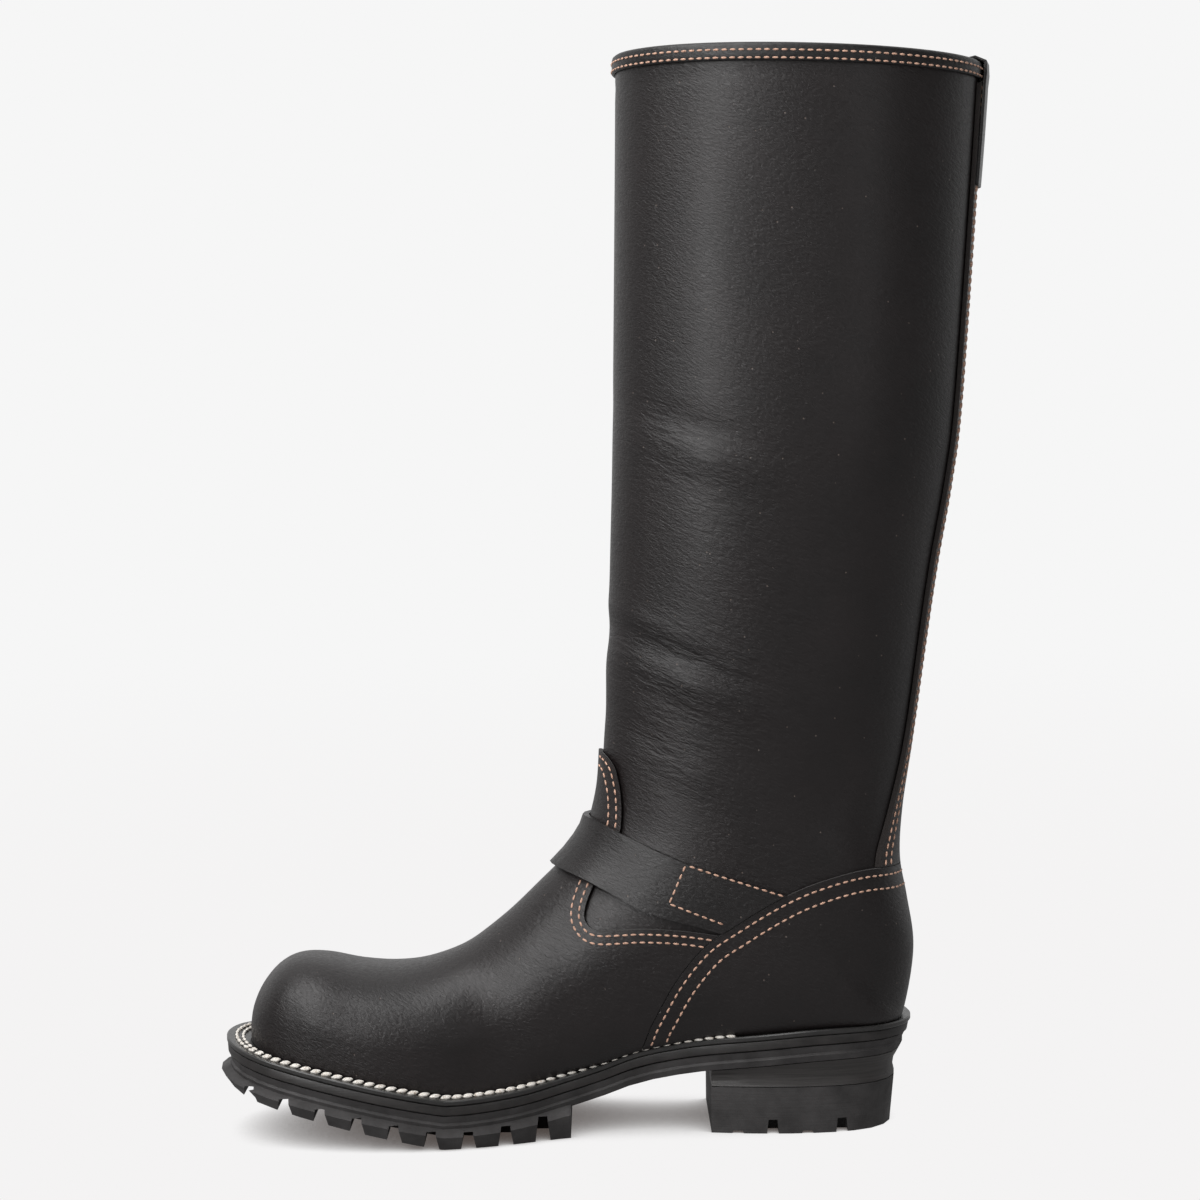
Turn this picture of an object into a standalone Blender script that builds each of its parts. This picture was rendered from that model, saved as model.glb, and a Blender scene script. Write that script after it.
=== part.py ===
"""Engineer boot, right foot: a welted leather boot on a lugged rubber sole.

Metres, +Z up. The toe points to -X and the inner side of the foot faces -Y.
The origin is on the ground, in the middle of the heel's resting face.
"""

import math

import bmesh
import bpy
import numpy as np
from mathutils import Vector
from mathutils.bvhtree import BVHTree

MM = 0.001

# Fits between neighbouring pieces
GAP = 0.36 * MM

# Sole
SOLE_LENGTH = 305.3 * MM
BALL_WIDTH = 112 * MM
HEEL_OVERHANG = 48.4 * MM
TOE_SWING = 8.4 * MM
TOE_SPRING = 21.5 * MM
TOE_THINNING = 2 * MM
SPRING_START = 206 * MM
SPRING_POWER = 1.1
OUTSOLE_THICKNESS = 14.3 * MM
HEEL_LIFT = 25.7 * MM
PLATE_THICKNESS = 6.8 * MM
PLATE_INSET = 1.2 * MM
SIDE_STEP = 0.8 * MM
MIDSOLE_THICKNESS = 4.1 * MM
WELT_THICKNESS = 2.4 * MM
WELT_LEDGE = 10 * MM
WELT_TUCK = 4 * MM
EDGE_DRAFT = 0.6 * MM
INSOLE_THICKNESS = 4.4 * MM

# Tread of the forefoot
TREAD_END = 152.3 * MM
GROOVE_START = 12.1 * MM
LUG_PITCH = 15.9 * MM
GROOVE_WIDTH = 6.5 * MM
GROOVE_TAPER = 0.6
GROOVE_REACH = 13.2 * MM
CENTRE_GROOVE_WIDTH = 5 * MM
CENTRE_GROOVE_MARGIN = 24 * MM
LUG_FLARE = 2.6 * MM

# Heel
HEEL_LENGTH = 90.6 * MM
TOPLIFT_THICKNESS = 20.5 * MM
HEEL_INSET = 3.6 * MM
HEEL_DRAW = 2.8 * MM
HEEL_HOLLOW = 1.4 * MM
NOTCH_WIDTH = 6.4 * MM
NOTCH_HEIGHT = 6.2 * MM
NOTCH_DEPTH = 11 * MM
NOTCH_PITCH = 30.5 * MM
NOTCH_START = 26.8 * MM
NOTCH_TAPER = 0.62
SMALL_NOTCH_HEIGHT = 1.2 * MM

# Upper
WALL = 2.4 * MM
INSTEP_RISE = 130 * MM
THROAT_REACH = 130.4 * MM
SHAFT_RISE = 423.4 * MM
SHAFT_LEAN = 38.3 * MM
COLLAR_DEPTH = 160.3 * MM
COLLAR_WIDTH = 108 * MM

# Leather pieces laid on the upper
OVERLAY = 1.8 * MM
BINDING_DEPTH = 6 * MM
BINDING_THICKNESS = 1.2 * MM
STRAP_THICKNESS = 2.6 * MM
TAB_ROOT = 0.38
TAB_RAMP = 7 * MM
PULL_WIDTH = 27 * MM
PULL_THICKNESS = 1.7 * MM
PULL_DROP = 54 * MM
PULL_BOW = 1.2 * MM

# Buckle on the outer side
CHAPE_THICKNESS = 1.6 * MM
CHAPE_WIDTH = 22 * MM
BUCKLE_WIRE = 1.6 * MM
BUCKLE_INNER_WIDTH = 27.5 * MM
BUCKLE_LENGTH = 23 * MM
BUCKLE_CORNER = 5 * MM
BUCKLE_SETBACK = 101.4 * MM
CHAPE_RETURN = 14 * MM
PRONG_RADIUS = 1.2 * MM
SLOT_WIDTH = 5 * MM
KEEPER_WIDTH = 9 * MM
KEEPER_BEHIND_BAR = 17.5 * MM
KEEPER_THICKNESS = 1.6 * MM
KEEPER_CORNER = 3 * MM
TAIL_LENGTH = 43 * MM

# Plan of the welt's edge. Shares of SOLE_LENGTH from the heel's back, of BALL_WIDTH from the heel's
# centre line to each side, and of WELT_LEDGE for the step from that edge in to the upper.
PLAN_COLUMNS = ("station", "inner", "outer", "ledge")
PLAN = (
    (0.000, 0.000, 0.000, 0.60),
    (0.012, 0.150, 0.150, 0.60),
    (0.045, 0.250, 0.250, 0.62),
    (0.095, 0.305, 0.305, 0.68),
    (0.160, 0.328, 0.332, 0.75),
    (0.240, 0.322, 0.336, 0.78),
    (0.330, 0.290, 0.330, 0.75),
    (0.420, 0.285, 0.345, 0.75),
    (0.500, 0.335, 0.385, 0.85),
    (0.580, 0.425, 0.437, 0.95),
    (0.660, 0.490, 0.476, 1.00),
    (0.720, 0.508, 0.484, 1.00),
    (0.780, 0.508, 0.472, 1.00),
    (0.840, 0.490, 0.436, 1.05),
    (0.890, 0.462, 0.388, 1.10),
    (0.935, 0.415, 0.325, 1.15),
    (0.970, 0.330, 0.208, 1.25),
    (0.990, 0.228, 0.092, 1.30),
    (1.000, 0.068, -0.068, 1.30),
)

# Side line of the sole between toe and heel: share of HEEL_LIFT at shares of SOLE_LENGTH
LIFT_COLUMNS = ("station", "lift")
LIFT = (
    (0.000, 1.000),
    (0.160, 0.955),
    (0.226, 0.884),
    (0.288, 0.813),
    (0.345, 0.719),
    (0.407, 0.562),
    (0.453, 0.382),
    (0.503, 0.232),
    (0.556, 0.101),
    (0.605, 0.034),
    (0.655, 0.000),
    (1.000, 0.000),
)

# Sections of the foot, from the toe back to the throat. Each is a plane that runs from a point on the
# front line (front, rise) down to the feather line (feather). Along the foot the shares are of the
# upper's own length, and rise is a share of INSTEP_RISE above the feather line. The half width is
# follow times the sole's half width there, plus inner or outer times BALL_WIDTH. widest is where it
# lies along the section, and crown and side are the roundness above and below that place.
FOOT_COLUMNS = (
    "feather", "front", "rise", "swing", "follow", "inner", "outer", "widest", "crown", "side"
)
FOOT = (
    (1.0000, 1.0000, 0.000, 1.00, 1.05, 0.000, 0.000, 0.55, 2.20, 2.2),
    (0.9986, 0.9990, 0.058, 1.00, 1.05, 0.000, 0.000, 0.56, 2.20, 2.2),
    (0.9935, 0.9940, 0.120, 1.00, 1.05, 0.000, 0.000, 0.57, 2.20, 2.2),
    (0.9790, 0.9800, 0.193, 1.00, 1.05, 0.000, 0.000, 0.58, 2.25, 2.2),
    (0.9590, 0.9580, 0.258, 0.98, 1.05, 0.000, 0.000, 0.60, 2.30, 2.2),
    (0.9310, 0.9300, 0.298, 0.95, 1.05, 0.000, 0.000, 0.62, 2.35, 2.2),
    (0.8920, 0.8920, 0.314, 0.90, 1.05, 0.000, 0.000, 0.63, 2.35, 2.3),
    (0.8390, 0.8390, 0.316, 0.83, 1.04, 0.000, 0.000, 0.65, 2.25, 2.3),
    (0.7790, 0.7830, 0.334, 0.74, 1.04, 0.000, 0.000, 0.66, 2.15, 2.4),
    (0.7120, 0.7270, 0.376, 0.63, 1.03, 0.000, 0.000, 0.66, 2.05, 2.4),
    (0.6300, 0.6680, 0.440, 0.50, 0.98, 0.010, 0.010, 0.62, 1.95, 2.4),
    (0.5310, 0.6080, 0.524, 0.36, 0.50, 0.205, 0.196, 0.58, 1.90, 2.4),
    (0.4180, 0.5510, 0.622, 0.22, 0.20, 0.290, 0.300, 0.54, 1.85, 2.5),
    (0.2980, 0.5050, 0.700, 0.11, 0.00, 0.335, 0.350, 0.50, 1.85, 2.5),
    (0.1850, 0.4770, 0.772, 0.05, 0.00, 0.338, 0.346, 0.47, 1.88, 2.6),
    (0.0930, 0.4670, 0.838, 0.00, 0.00, 0.340, 0.343, 0.45, 1.90, 2.6),
    (0.0330, 0.4610, 0.893, 0.00, 0.00, 0.338, 0.338, 0.45, 1.92, 2.7),
    (0.0085, 0.4570, 0.940, 0.00, 0.00, 0.336, 0.336, 0.45, 1.93, 2.7),
)

# Sections of the shaft, from the back of the heel seat up to the collar. rear_out is a share of
# SHAFT_LEAN, front_out runs from the throat to the collar's front, the two heights are shares of
# SHAFT_RISE, and width is a share of COLLAR_WIDTH.
SHAFT_COLUMNS = ("rear_out", "rear_up", "front_out", "front_up", "width", "widest", "crown", "side")
SHAFT = (
    (0.000, 0.0000, 0.000, 0.281, 0.694, 0.45, 1.95, 2.75),
    (0.090, 0.0346, 0.060, 0.297, 0.694, 0.45, 1.95, 2.75),
    (0.136, 0.0772, 0.120, 0.317, 0.694, 0.46, 1.97, 2.70),
    (0.060, 0.1246, 0.167, 0.340, 0.700, 0.46, 1.98, 2.60),
    (-0.015, 0.1670, 0.210, 0.364, 0.710, 0.47, 2.00, 2.45),
    (0.020, 0.2190, 0.286, 0.394, 0.735, 0.48, 2.00, 2.30),
    (0.135, 0.2856, 0.357, 0.428, 0.765, 0.49, 2.02, 2.20),
    (0.285, 0.3800, 0.430, 0.466, 0.800, 0.50, 2.04, 2.10),
    (0.446, 0.4750, 0.500, 0.508, 0.835, 0.50, 2.05, 2.05),
    (0.613, 0.5600, 0.595, 0.563, 0.872, 0.50, 2.05, 2.05),
    (0.732, 0.6450, 0.690, 0.6450, 0.910, 0.50, 2.05, 2.05),
    (0.917, 0.8740, 0.905, 0.8820, 0.980, 0.50, 2.05, 2.05),
    (1.000, 0.9875, 1.000, 1.0000, 1.000, 0.50, 2.05, 2.05),
)

# Edges of the leather panels in side view: shares of the upper's length from its back, and of
# INSTEP_RISE above the heel seat
EDGE_COLUMNS = ("along", "up")
THROAT_EDGE = (
    (0.500, 0.920),
    (0.463, 0.916),
    (0.441, 0.875),
    (0.432, 0.808),
    (0.429, 0.742),
    (0.431, 0.666),
    (0.441, 0.610),
    (0.475, 0.471),
    (0.487, 0.399),
    (0.484, 0.358),
    (0.465, 0.337),
    (0.401, 0.343),
    (0.340, 0.336),
    (0.276, 0.316),
)
COUNTER_EDGE = (
    (-0.100, 0.516),
    (0.000, 0.523),
    (0.058, 0.525),
    (0.109, 0.505),
    (0.160, 0.468),
    (0.207, 0.418),
    (0.258, 0.351),
    (0.305, 0.281),
    (0.348, 0.167),
    (0.380, 0.041),
    (0.392, -0.018),
    (0.420, -0.200),
)
STRAP_TOP = (
    (0.560, 0.700),
    (0.490, 0.694),
    (0.459, 0.680),
    (0.389, 0.611),
    (0.304, 0.537),
    (0.186, 0.454),
    (0.080, 0.400),
)
STRAP_BOTTOM = (
    (0.600, 0.560),
    (0.525, 0.525),
    (0.475, 0.489),
    (0.398, 0.402),
    (0.321, 0.354),
    (0.290, 0.333),
    (0.150, 0.250),
)

# Half width of the backstay: shares of PULL_WIDTH at shares of SHAFT_RISE
BACKSTAY_COLUMNS = ("up", "half")
BACKSTAY = ((0.10, 1.20), (0.165, 1.00), (0.20, 0.82), (0.24, 0.66), (0.30, 0.55), (0.45, 0.53), (1.0, 0.56))

OUTLINE_STEPS = 68
BACKSTAY_STEPS = 20
PULL_STEPS = 22
ROUND_SEGMENTS = 10
STRAP_ROWS = (8, 21)
TOE_ROWS = 6
SHAFT_ROW = 23
CURVE_STEPS = 3
FINE_STEPS = 6


def column(table, columns, name):
    return np.array([row[columns.index(name)] for row in table], float)


def curve_through(keys, values, at):
    """A smooth curve through (keys, values), read at each point of `at`."""
    keys = np.asarray(keys, float)
    values = np.asarray(values, float)
    steps = np.diff(keys)
    slopes = np.diff(values) / steps
    tangents = np.empty(len(keys))
    tangents[0] = slopes[0]
    tangents[-1] = slopes[-1]
    tangents[1:-1] = (slopes[:-1] * steps[1:] + slopes[1:] * steps[:-1]) / (steps[:-1] + steps[1:])
    at = np.clip(np.asarray(at, float), keys[0], keys[-1])
    cell = np.clip(np.searchsorted(keys, at, side="right") - 1, 0, len(steps) - 1)
    step = steps[cell]
    u = (at - keys[cell]) / step
    start = (1 + 2 * u) * (1 - u) ** 2 * values[cell] + u * (1 - u) ** 2 * step * tangents[cell]
    end = u**2 * (3 - 2 * u) * values[cell + 1] + u**2 * (u - 1) * step * tangents[cell + 1]
    return start + end


def station_x(share):
    return HEEL_OVERHANG - np.asarray(share, float) * SOLE_LENGTH


def toe_spring(x):
    """How far the sole has risen off the ground ahead of its resting place."""
    ahead = HEEL_OVERHANG - np.asarray(x, float) - SPRING_START
    return TOE_SPRING * np.maximum(ahead / (SOLE_LENGTH - SPRING_START), 0.0) ** SPRING_POWER


def sole_line(x):
    """Height of the outsole's top along the sole."""
    share = (HEEL_OVERHANG - np.asarray(x, float)) / SOLE_LENGTH
    lift = curve_through(column(LIFT, LIFT_COLUMNS, "station"), column(LIFT, LIFT_COLUMNS, "lift"), share)
    return OUTSOLE_THICKNESS + HEEL_LIFT * np.clip(lift, 0.0, None) + toe_spring(x)


def midsole_top(x):
    return sole_line(x) + GAP + MIDSOLE_THICKNESS


def welt_top(x):
    return midsole_top(x) + GAP + WELT_THICKNESS


def feather_height(x):
    return welt_top(x) + GAP


def plan_outline(count):
    """The welt's edge as a closed loop, from the heel's back round the inner side to the toe and home,
    with the ledge at each point."""
    station = column(PLAN, PLAN_COLUMNS, "station")
    inner = -column(PLAN, PLAN_COLUMNS, "inner")
    outer = column(PLAN, PLAN_COLUMNS, "outer")
    ledge = column(PLAN, PLAN_COLUMNS, "ledge")
    x = np.concatenate([station_x(station), station_x(station[-2:0:-1])])
    y = np.concatenate([inner, outer[-2:0:-1]]) * BALL_WIDTH
    step_in = np.concatenate([ledge, ledge[-2:0:-1]]) * WELT_LEDGE
    points = np.stack([x, y, step_in], axis=1)
    wrapped = np.concatenate([points[-3:-1], points, points[:3]])
    wrapped[1] = points[-1]
    wrapped[0] = points[-2]
    lengths = np.linalg.norm(np.diff(wrapped[:, :2], axis=0), axis=1)
    run = np.concatenate([[0.0], np.cumsum(lengths)])
    toe = len(PLAN) - 1 + 2
    first, last = run[2], run[2 + len(points)]
    half = count // 2
    marks = np.concatenate(
        [
            np.linspace(first, run[toe], half, endpoint=False),
            np.linspace(run[toe], last, half, endpoint=False),
        ]
    )
    return np.stack([curve_through(run, wrapped[:, i], marks) for i in range(3)], axis=1)


def outline_normals(loop):
    ahead = np.roll(loop[:, :2], -1, axis=0) - np.roll(loop[:, :2], 1, axis=0)
    normals = np.stack([ahead[:, 1], -ahead[:, 0]], axis=1)
    return -normals / np.linalg.norm(normals, axis=1)[:, None]


PLAN_LOOP = plan_outline(OUTLINE_STEPS)
PLAN_NORMALS = outline_normals(PLAN_LOOP)


def inset_loop(inset, ledges=0.0):
    """The welt's edge moved in by a length, and by a number of times the ledge."""
    depth = inset + ledges * PLAN_LOOP[:, 2]
    return PLAN_LOOP[:, :2] - PLAN_NORMALS * depth[:, None]


FINE_LOOP = plan_outline(OUTLINE_STEPS * FINE_STEPS)
FEATHER_LOOP = FINE_LOOP[:, :2] - outline_normals(FINE_LOOP) * FINE_LOOP[:, 2:3]
FEATHER_BACK = float(FEATHER_LOOP[:, 0].max())
FEATHER_TOE = float(FEATHER_LOOP[:, 0].min())
UPPER_LENGTH = FEATHER_BACK - FEATHER_TOE
SEAT_HEIGHT = float(feather_height(FEATHER_BACK))


def feather_y(x, side):
    """Where the upper meets the welt, at x on the inner (-1) or outer (1) side."""
    turn = int(np.argmin(FEATHER_LOOP[:, 0]))
    start = int(np.argmax(FEATHER_LOOP[:, 0]))
    loop = np.roll(FEATHER_LOOP, -start, axis=0)
    turn = (turn - start) % len(loop)
    if side < 0:
        run = loop[: turn + 1]
    else:
        run = np.concatenate([loop[turn:], loop[:1]])[::-1]
    return np.interp(-np.asarray(x, float), -run[:, 0], run[:, 1])


def sections():
    """Every section of the upper, as one array for each property."""
    foot = {name: column(FOOT, FOOT_COLUMNS, name) for name in FOOT_COLUMNS}
    shaft = {name: column(SHAFT, SHAFT_COLUMNS, name) for name in SHAFT_COLUMNS}
    foot_front_x = FEATHER_BACK - foot["front"] * UPPER_LENGTH
    foot_rear_x = FEATHER_BACK - foot["feather"] * UPPER_LENGTH
    throat_x = FEATHER_BACK - THROAT_REACH
    collar_front = FEATHER_BACK + SHAFT_LEAN - COLLAR_DEPTH
    none = np.zeros(len(SHAFT))
    return {
        "front_x": np.concatenate([foot_front_x, throat_x + shaft["front_out"] * (collar_front - throat_x)]),
        "front_z": np.concatenate(
            [
                feather_height(foot_front_x) + foot["rise"] * INSTEP_RISE,
                SEAT_HEIGHT + shaft["front_up"] * SHAFT_RISE,
            ]
        ),
        "rear_x": np.concatenate([foot_rear_x, FEATHER_BACK + shaft["rear_out"] * SHAFT_LEAN]),
        "rear_up": np.concatenate([np.zeros(len(FOOT)), shaft["rear_up"] * SHAFT_RISE]),
        "centre": np.concatenate([-foot["swing"] * TOE_SWING, none]),
        "follow": np.concatenate([foot["follow"], none]),
        "inner": np.concatenate([foot["inner"] * BALL_WIDTH, shaft["width"] * COLLAR_WIDTH / 2]),
        "outer": np.concatenate([foot["outer"] * BALL_WIDTH, shaft["width"] * COLLAR_WIDTH / 2]),
        "widest": np.concatenate([foot["widest"], shaft["widest"]]),
        "crown": np.concatenate([foot["crown"], shaft["crown"]]),
        "side": np.concatenate([foot["side"], shaft["side"]]),
    }


SECTIONS = sections()
LAST_SECTION = len(FOOT) + len(SHAFT) - 1


def upper_surface(t, turn, side):
    """Points of the upper's outer face. t counts sections from the toe to the collar, and turn goes from
    0 on the front line to 1 at the feather or the back seam, on the inner (-1) or outer (1) side."""
    t = np.asarray(t, float)[:, None]
    turn = np.asarray(turn, float)[None, :]
    order = np.arange(LAST_SECTION + 1)
    at = {name: curve_through(order, values, t) for name, values in SECTIONS.items()}
    at["rear_x"] = np.clip(at["rear_x"], FEATHER_TOE, None)
    on_sole = t < len(FOOT)
    at["rear_x"] = np.where(on_sole, np.minimum(at["rear_x"], FEATHER_BACK), at["rear_x"])
    rear_z = np.where(on_sole, feather_height(at["rear_x"]), SEAT_HEIGHT + at["rear_up"])
    edge = np.where(on_sole, side * (feather_y(at["rear_x"], side) - at["centre"]), 0.0)
    edge = np.clip(edge, 0.0, None)
    half = at["follow"] * edge + at["inner" if side < 0 else "outer"]
    above = np.clip(turn * 2, 0.0, 1.0) * math.pi / 2
    below = np.clip(turn * 2 - 1, 0.0, 1.0) * math.pi / 2
    crown = 2 / at["crown"]
    flank = 2 / at["side"]
    upper_half = turn <= 0.5
    share = np.where(
        upper_half,
        at["widest"] * (1 - np.cos(above) ** crown),
        at["widest"] + (1 - at["widest"]) * np.sin(below) ** flank,
    )
    reach = np.where(upper_half, half * np.sin(above) ** crown, edge + (half - edge) * np.cos(below) ** flank)
    x = at["front_x"] + share * (at["rear_x"] - at["front_x"])
    z = at["front_z"] + share * (rear_z - at["front_z"])
    y = at["centre"] + side * reach
    return np.stack(np.broadcast_arrays(x, y, z), axis=-1)


def upper_grid(steps, round_segments):
    """Rows of points round the upper, from the inner feather over the front line to the outer one.
    Each section between the toe and the straight shaft is split into a number of steps."""
    first = TOE_ROWS * max(steps // 2, 1)
    t = np.concatenate(
        [
            np.linspace(0, TOE_ROWS, first, endpoint=False),
            np.arange(TOE_ROWS, SHAFT_ROW, 1 / steps),
            np.arange(SHAFT_ROW, LAST_SECTION + 1),
        ]
    )
    turn = np.linspace(0, 1, round_segments + 1)
    inner = upper_surface(t, turn, -1)
    outer = upper_surface(t, turn, 1)
    return np.concatenate([inner[:, ::-1], outer[:, 1:]], axis=1)


def grid_normals(grid):
    """Outward direction at each point of a grid of rows, level along the feather."""
    along = np.gradient(grid, axis=0)
    across = np.gradient(grid, axis=1)
    normals = np.cross(along, across)
    lengths = np.linalg.norm(normals, axis=2, keepdims=True)
    normals = normals / np.maximum(lengths, 1e-12)
    normals[0] = (-1.0, 0.0, 0.0)
    seam = np.linalg.norm(grid[:, 0] - grid[:, -1], axis=1) < 0.01 * MM
    mean = normals[seam, 0] + normals[seam, -1]
    mean /= np.linalg.norm(mean, axis=1, keepdims=True)
    normals[seam, 0] = mean
    normals[seam, -1] = mean
    return normals


def grid_normals_inside(grid):
    """Outward direction at each point of a grid that has no pole."""
    normals = np.cross(np.gradient(grid, axis=0), np.gradient(grid, axis=1))
    return normals / np.linalg.norm(normals, axis=2, keepdims=True)


def new_mesh_object(name, bm, collection):
    mesh = bpy.data.meshes.new(name)
    bm.to_mesh(mesh)
    bm.free()
    obj = bpy.data.objects.new(name, mesh)
    collection.objects.link(obj)
    return obj


def grid_object(name, grid, collection):
    """An open sheet of quads over a grid of points, with its doubled points merged."""
    bm = bmesh.new()
    rows, cols = grid.shape[:2]
    verts = [bm.verts.new(point) for point in grid.reshape(-1, 3)]
    for i in range(rows - 1):
        for j in range(cols - 1):
            a = i * cols + j
            bm.faces.new((verts[a], verts[a + cols], verts[a + cols + 1], verts[a + 1]))
    bmesh.ops.remove_doubles(bm, verts=bm.verts, dist=0.02 * MM)
    bmesh.ops.dissolve_degenerate(bm, edges=bm.edges, dist=0.001 * MM)
    return new_mesh_object(name, bm, collection)


def levels_object(name, levels, collection, ring=False):
    """A solid from stacked outlines. Each level is an (N, 3) loop, bottom first on the outer side."""
    bm = bmesh.new()
    count = len(levels[0])
    loops = [[bm.verts.new(point) for point in level] for level in levels]
    pairs = list(zip(loops, loops[1:]))
    if ring:
        pairs.append((loops[-1], loops[0]))
    for low, high in pairs:
        for i in range(count):
            j = (i + 1) % count
            bm.faces.new((low[j], low[i], high[i], high[j]))
    if not ring:
        for loop, flip in ((loops[0], False), (loops[-1], True)):
            for i in range(count // 2):
                corners = [loop[i], loop[i + 1], loop[(count - i - 1) % count], loop[(count - i) % count]]
                corners = list(dict.fromkeys(corners))
                bm.faces.new(corners[::-1] if flip else corners)
    bmesh.ops.triangulate(bm, faces=[face for face in bm.faces if len(face.verts) > 3])
    bmesh.ops.recalc_face_normals(bm, faces=bm.faces)
    return new_mesh_object(name, bm, collection)


def at_height(loop, height):
    """A plan loop lifted to a height that may vary along the sole."""
    z = height(loop[:, 0]) if callable(height) else np.full(len(loop), height)
    return np.column_stack([loop, z])


def prism_object(name, outline, axis, low, high, collection):
    """A cutter: a flat outline in the plane across an axis, drawn out from low to high along it."""
    bm = bmesh.new()
    places = {"x": (1, 2, 0), "y": (0, 2, 1), "z": (0, 1, 2)}[axis]
    faces = []
    for level in (low, high):
        verts = []
        for first, second in outline:
            point = [0.0, 0.0, 0.0]
            point[places[0]] = first
            point[places[1]] = second
            point[places[2]] = level
            verts.append(bm.verts.new(point))
        faces.append(verts)
    bm.faces.new(faces[0])
    bm.faces.new(faces[1])
    for i in range(len(outline)):
        j = (i + 1) % len(outline)
        bm.faces.new((faces[0][i], faces[0][j], faces[1][j], faces[1][i]))
    bmesh.ops.triangulate(bm, faces=[face for face in bm.faces if len(face.verts) > 4])
    bmesh.ops.recalc_face_normals(bm, faces=bm.faces)
    obj = new_mesh_object(name, bm, collection)
    obj.hide_render = True
    obj.display_type = "WIRE"
    return obj


def boolean(obj, operation, other):
    modifier = obj.modifiers.new(other.name, "BOOLEAN")
    modifier.operation = operation
    modifier.object = other
    modifier.solver = "EXACT"
    return modifier


def thin_boolean(obj, operation, other):
    """A Boolean on a folded sheet or on many grooves, which the EXACT solver returns empty or open."""
    boolean(obj, operation, other).solver = "MANIFOLD"


def solidify(obj, thickness, offset):
    modifier = obj.modifiers.new("wall", "SOLIDIFY")
    modifier.thickness = thickness
    modifier.offset = offset
    return modifier


def side_curve(table, steps=CURVE_STEPS):
    """A panel's edge in side view, as a smooth run of (x, z) points."""
    along = column(table, EDGE_COLUMNS, "along")
    up = column(table, EDGE_COLUMNS, "up")
    order = np.arange(len(table))
    marks = np.linspace(0, len(table) - 1, (len(table) - 1) * steps + 1)
    x = FEATHER_BACK - curve_through(order, along, marks) * UPPER_LENGTH
    z = SEAT_HEIGHT + curve_through(order, up, marks) * INSTEP_RISE
    return np.column_stack([x, z])


def feather_run(start_x, end_x, count, drop):
    x = np.linspace(start_x, end_x, count)
    return np.column_stack([x, feather_height(x) + drop])


def moved(curve, distance):
    """A side-view curve moved to the left of its direction by a distance."""
    ahead = np.gradient(curve, axis=0)
    left = np.column_stack([-ahead[:, 1], ahead[:, 0]])
    return curve + left / np.linalg.norm(left, axis=1)[:, None] * distance


def material(name, colour, roughness, metallic=0.0):
    mat = bpy.data.materials.new(name)
    mat.use_nodes = True
    shader = mat.node_tree.nodes["Principled BSDF"]
    shader.inputs["Base Color"].default_value = (*colour, 1.0)
    shader.inputs["Roughness"].default_value = roughness
    shader.inputs["Metallic"].default_value = metallic
    return mat


def finish(obj, mat):
    obj.data.materials.clear()
    obj.data.materials.append(mat)
    obj.data.shade_smooth()


def clear_scene():
    for obj in list(bpy.data.objects):
        bpy.data.objects.remove(obj, do_unlink=True)


def box_object(name, corners, collection):
    """A box cutter between two corners."""
    bm = bmesh.new()
    bmesh.ops.create_cube(bm, size=1.0)
    low, high = Vector(corners[0]), Vector(corners[1])
    for vert in bm.verts:
        vert.co = (low + high) / 2 + Vector(a * b for a, b in zip(vert.co, high - low))
    obj = new_mesh_object(name, bm, collection)
    obj.hide_render = True
    obj.display_type = "WIRE"
    return obj


def groove_cutter(name, x, y_low, y_high, width, collection):
    """A groove across the tread up to the plate, narrower at its root."""
    root = float(plate_bottom(x))
    mouth = float(tread_bottom(x))
    below = mouth - 2 * LUG_FLARE
    root_half = GROOVE_TAPER * width / 2
    slope = (width / 2 - root_half) / (root - mouth)
    spread = root_half + slope * (root - below)
    outline = [(x - spread, below), (x + spread, below), (x + root_half, root), (x - root_half, root)]
    return prism_object(name, outline, "y", y_low, y_high, collection)


def merged_cutters(name, cutters, collection):
    """Cutters that don't touch each other, as one object."""
    bm = bmesh.new()
    for cutter in cutters:
        bm.from_mesh(cutter.data)
        bpy.data.objects.remove(cutter, do_unlink=True)
    obj = new_mesh_object(name, bm, collection)
    obj.hide_render = True
    obj.display_type = "WIRE"
    return obj


def tread_bottom(x):
    """Height of the lugs' faces: on the ground, and sprung up at the toe."""
    return toe_spring(x) * (1 + TOE_THINNING / TOE_SPRING)


def plate_bottom(x):
    return sole_line(x) - PLATE_THICKNESS


def heel_level(inset, draw, height):
    """An outline of the heel, drawn forward at its back by a length."""
    loop = inset_loop(inset)
    breast_x = HEEL_OVERHANG - HEEL_LENGTH
    behind = np.clip(loop[:, 0] - breast_x, 0.0, None)
    loop[:, 0] -= draw * behind / HEEL_LENGTH
    return at_height(loop, height)


def part_way(low, high, share):
    """A height between two height functions."""
    return lambda x: low(x) + share * (high(x) - low(x))


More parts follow.
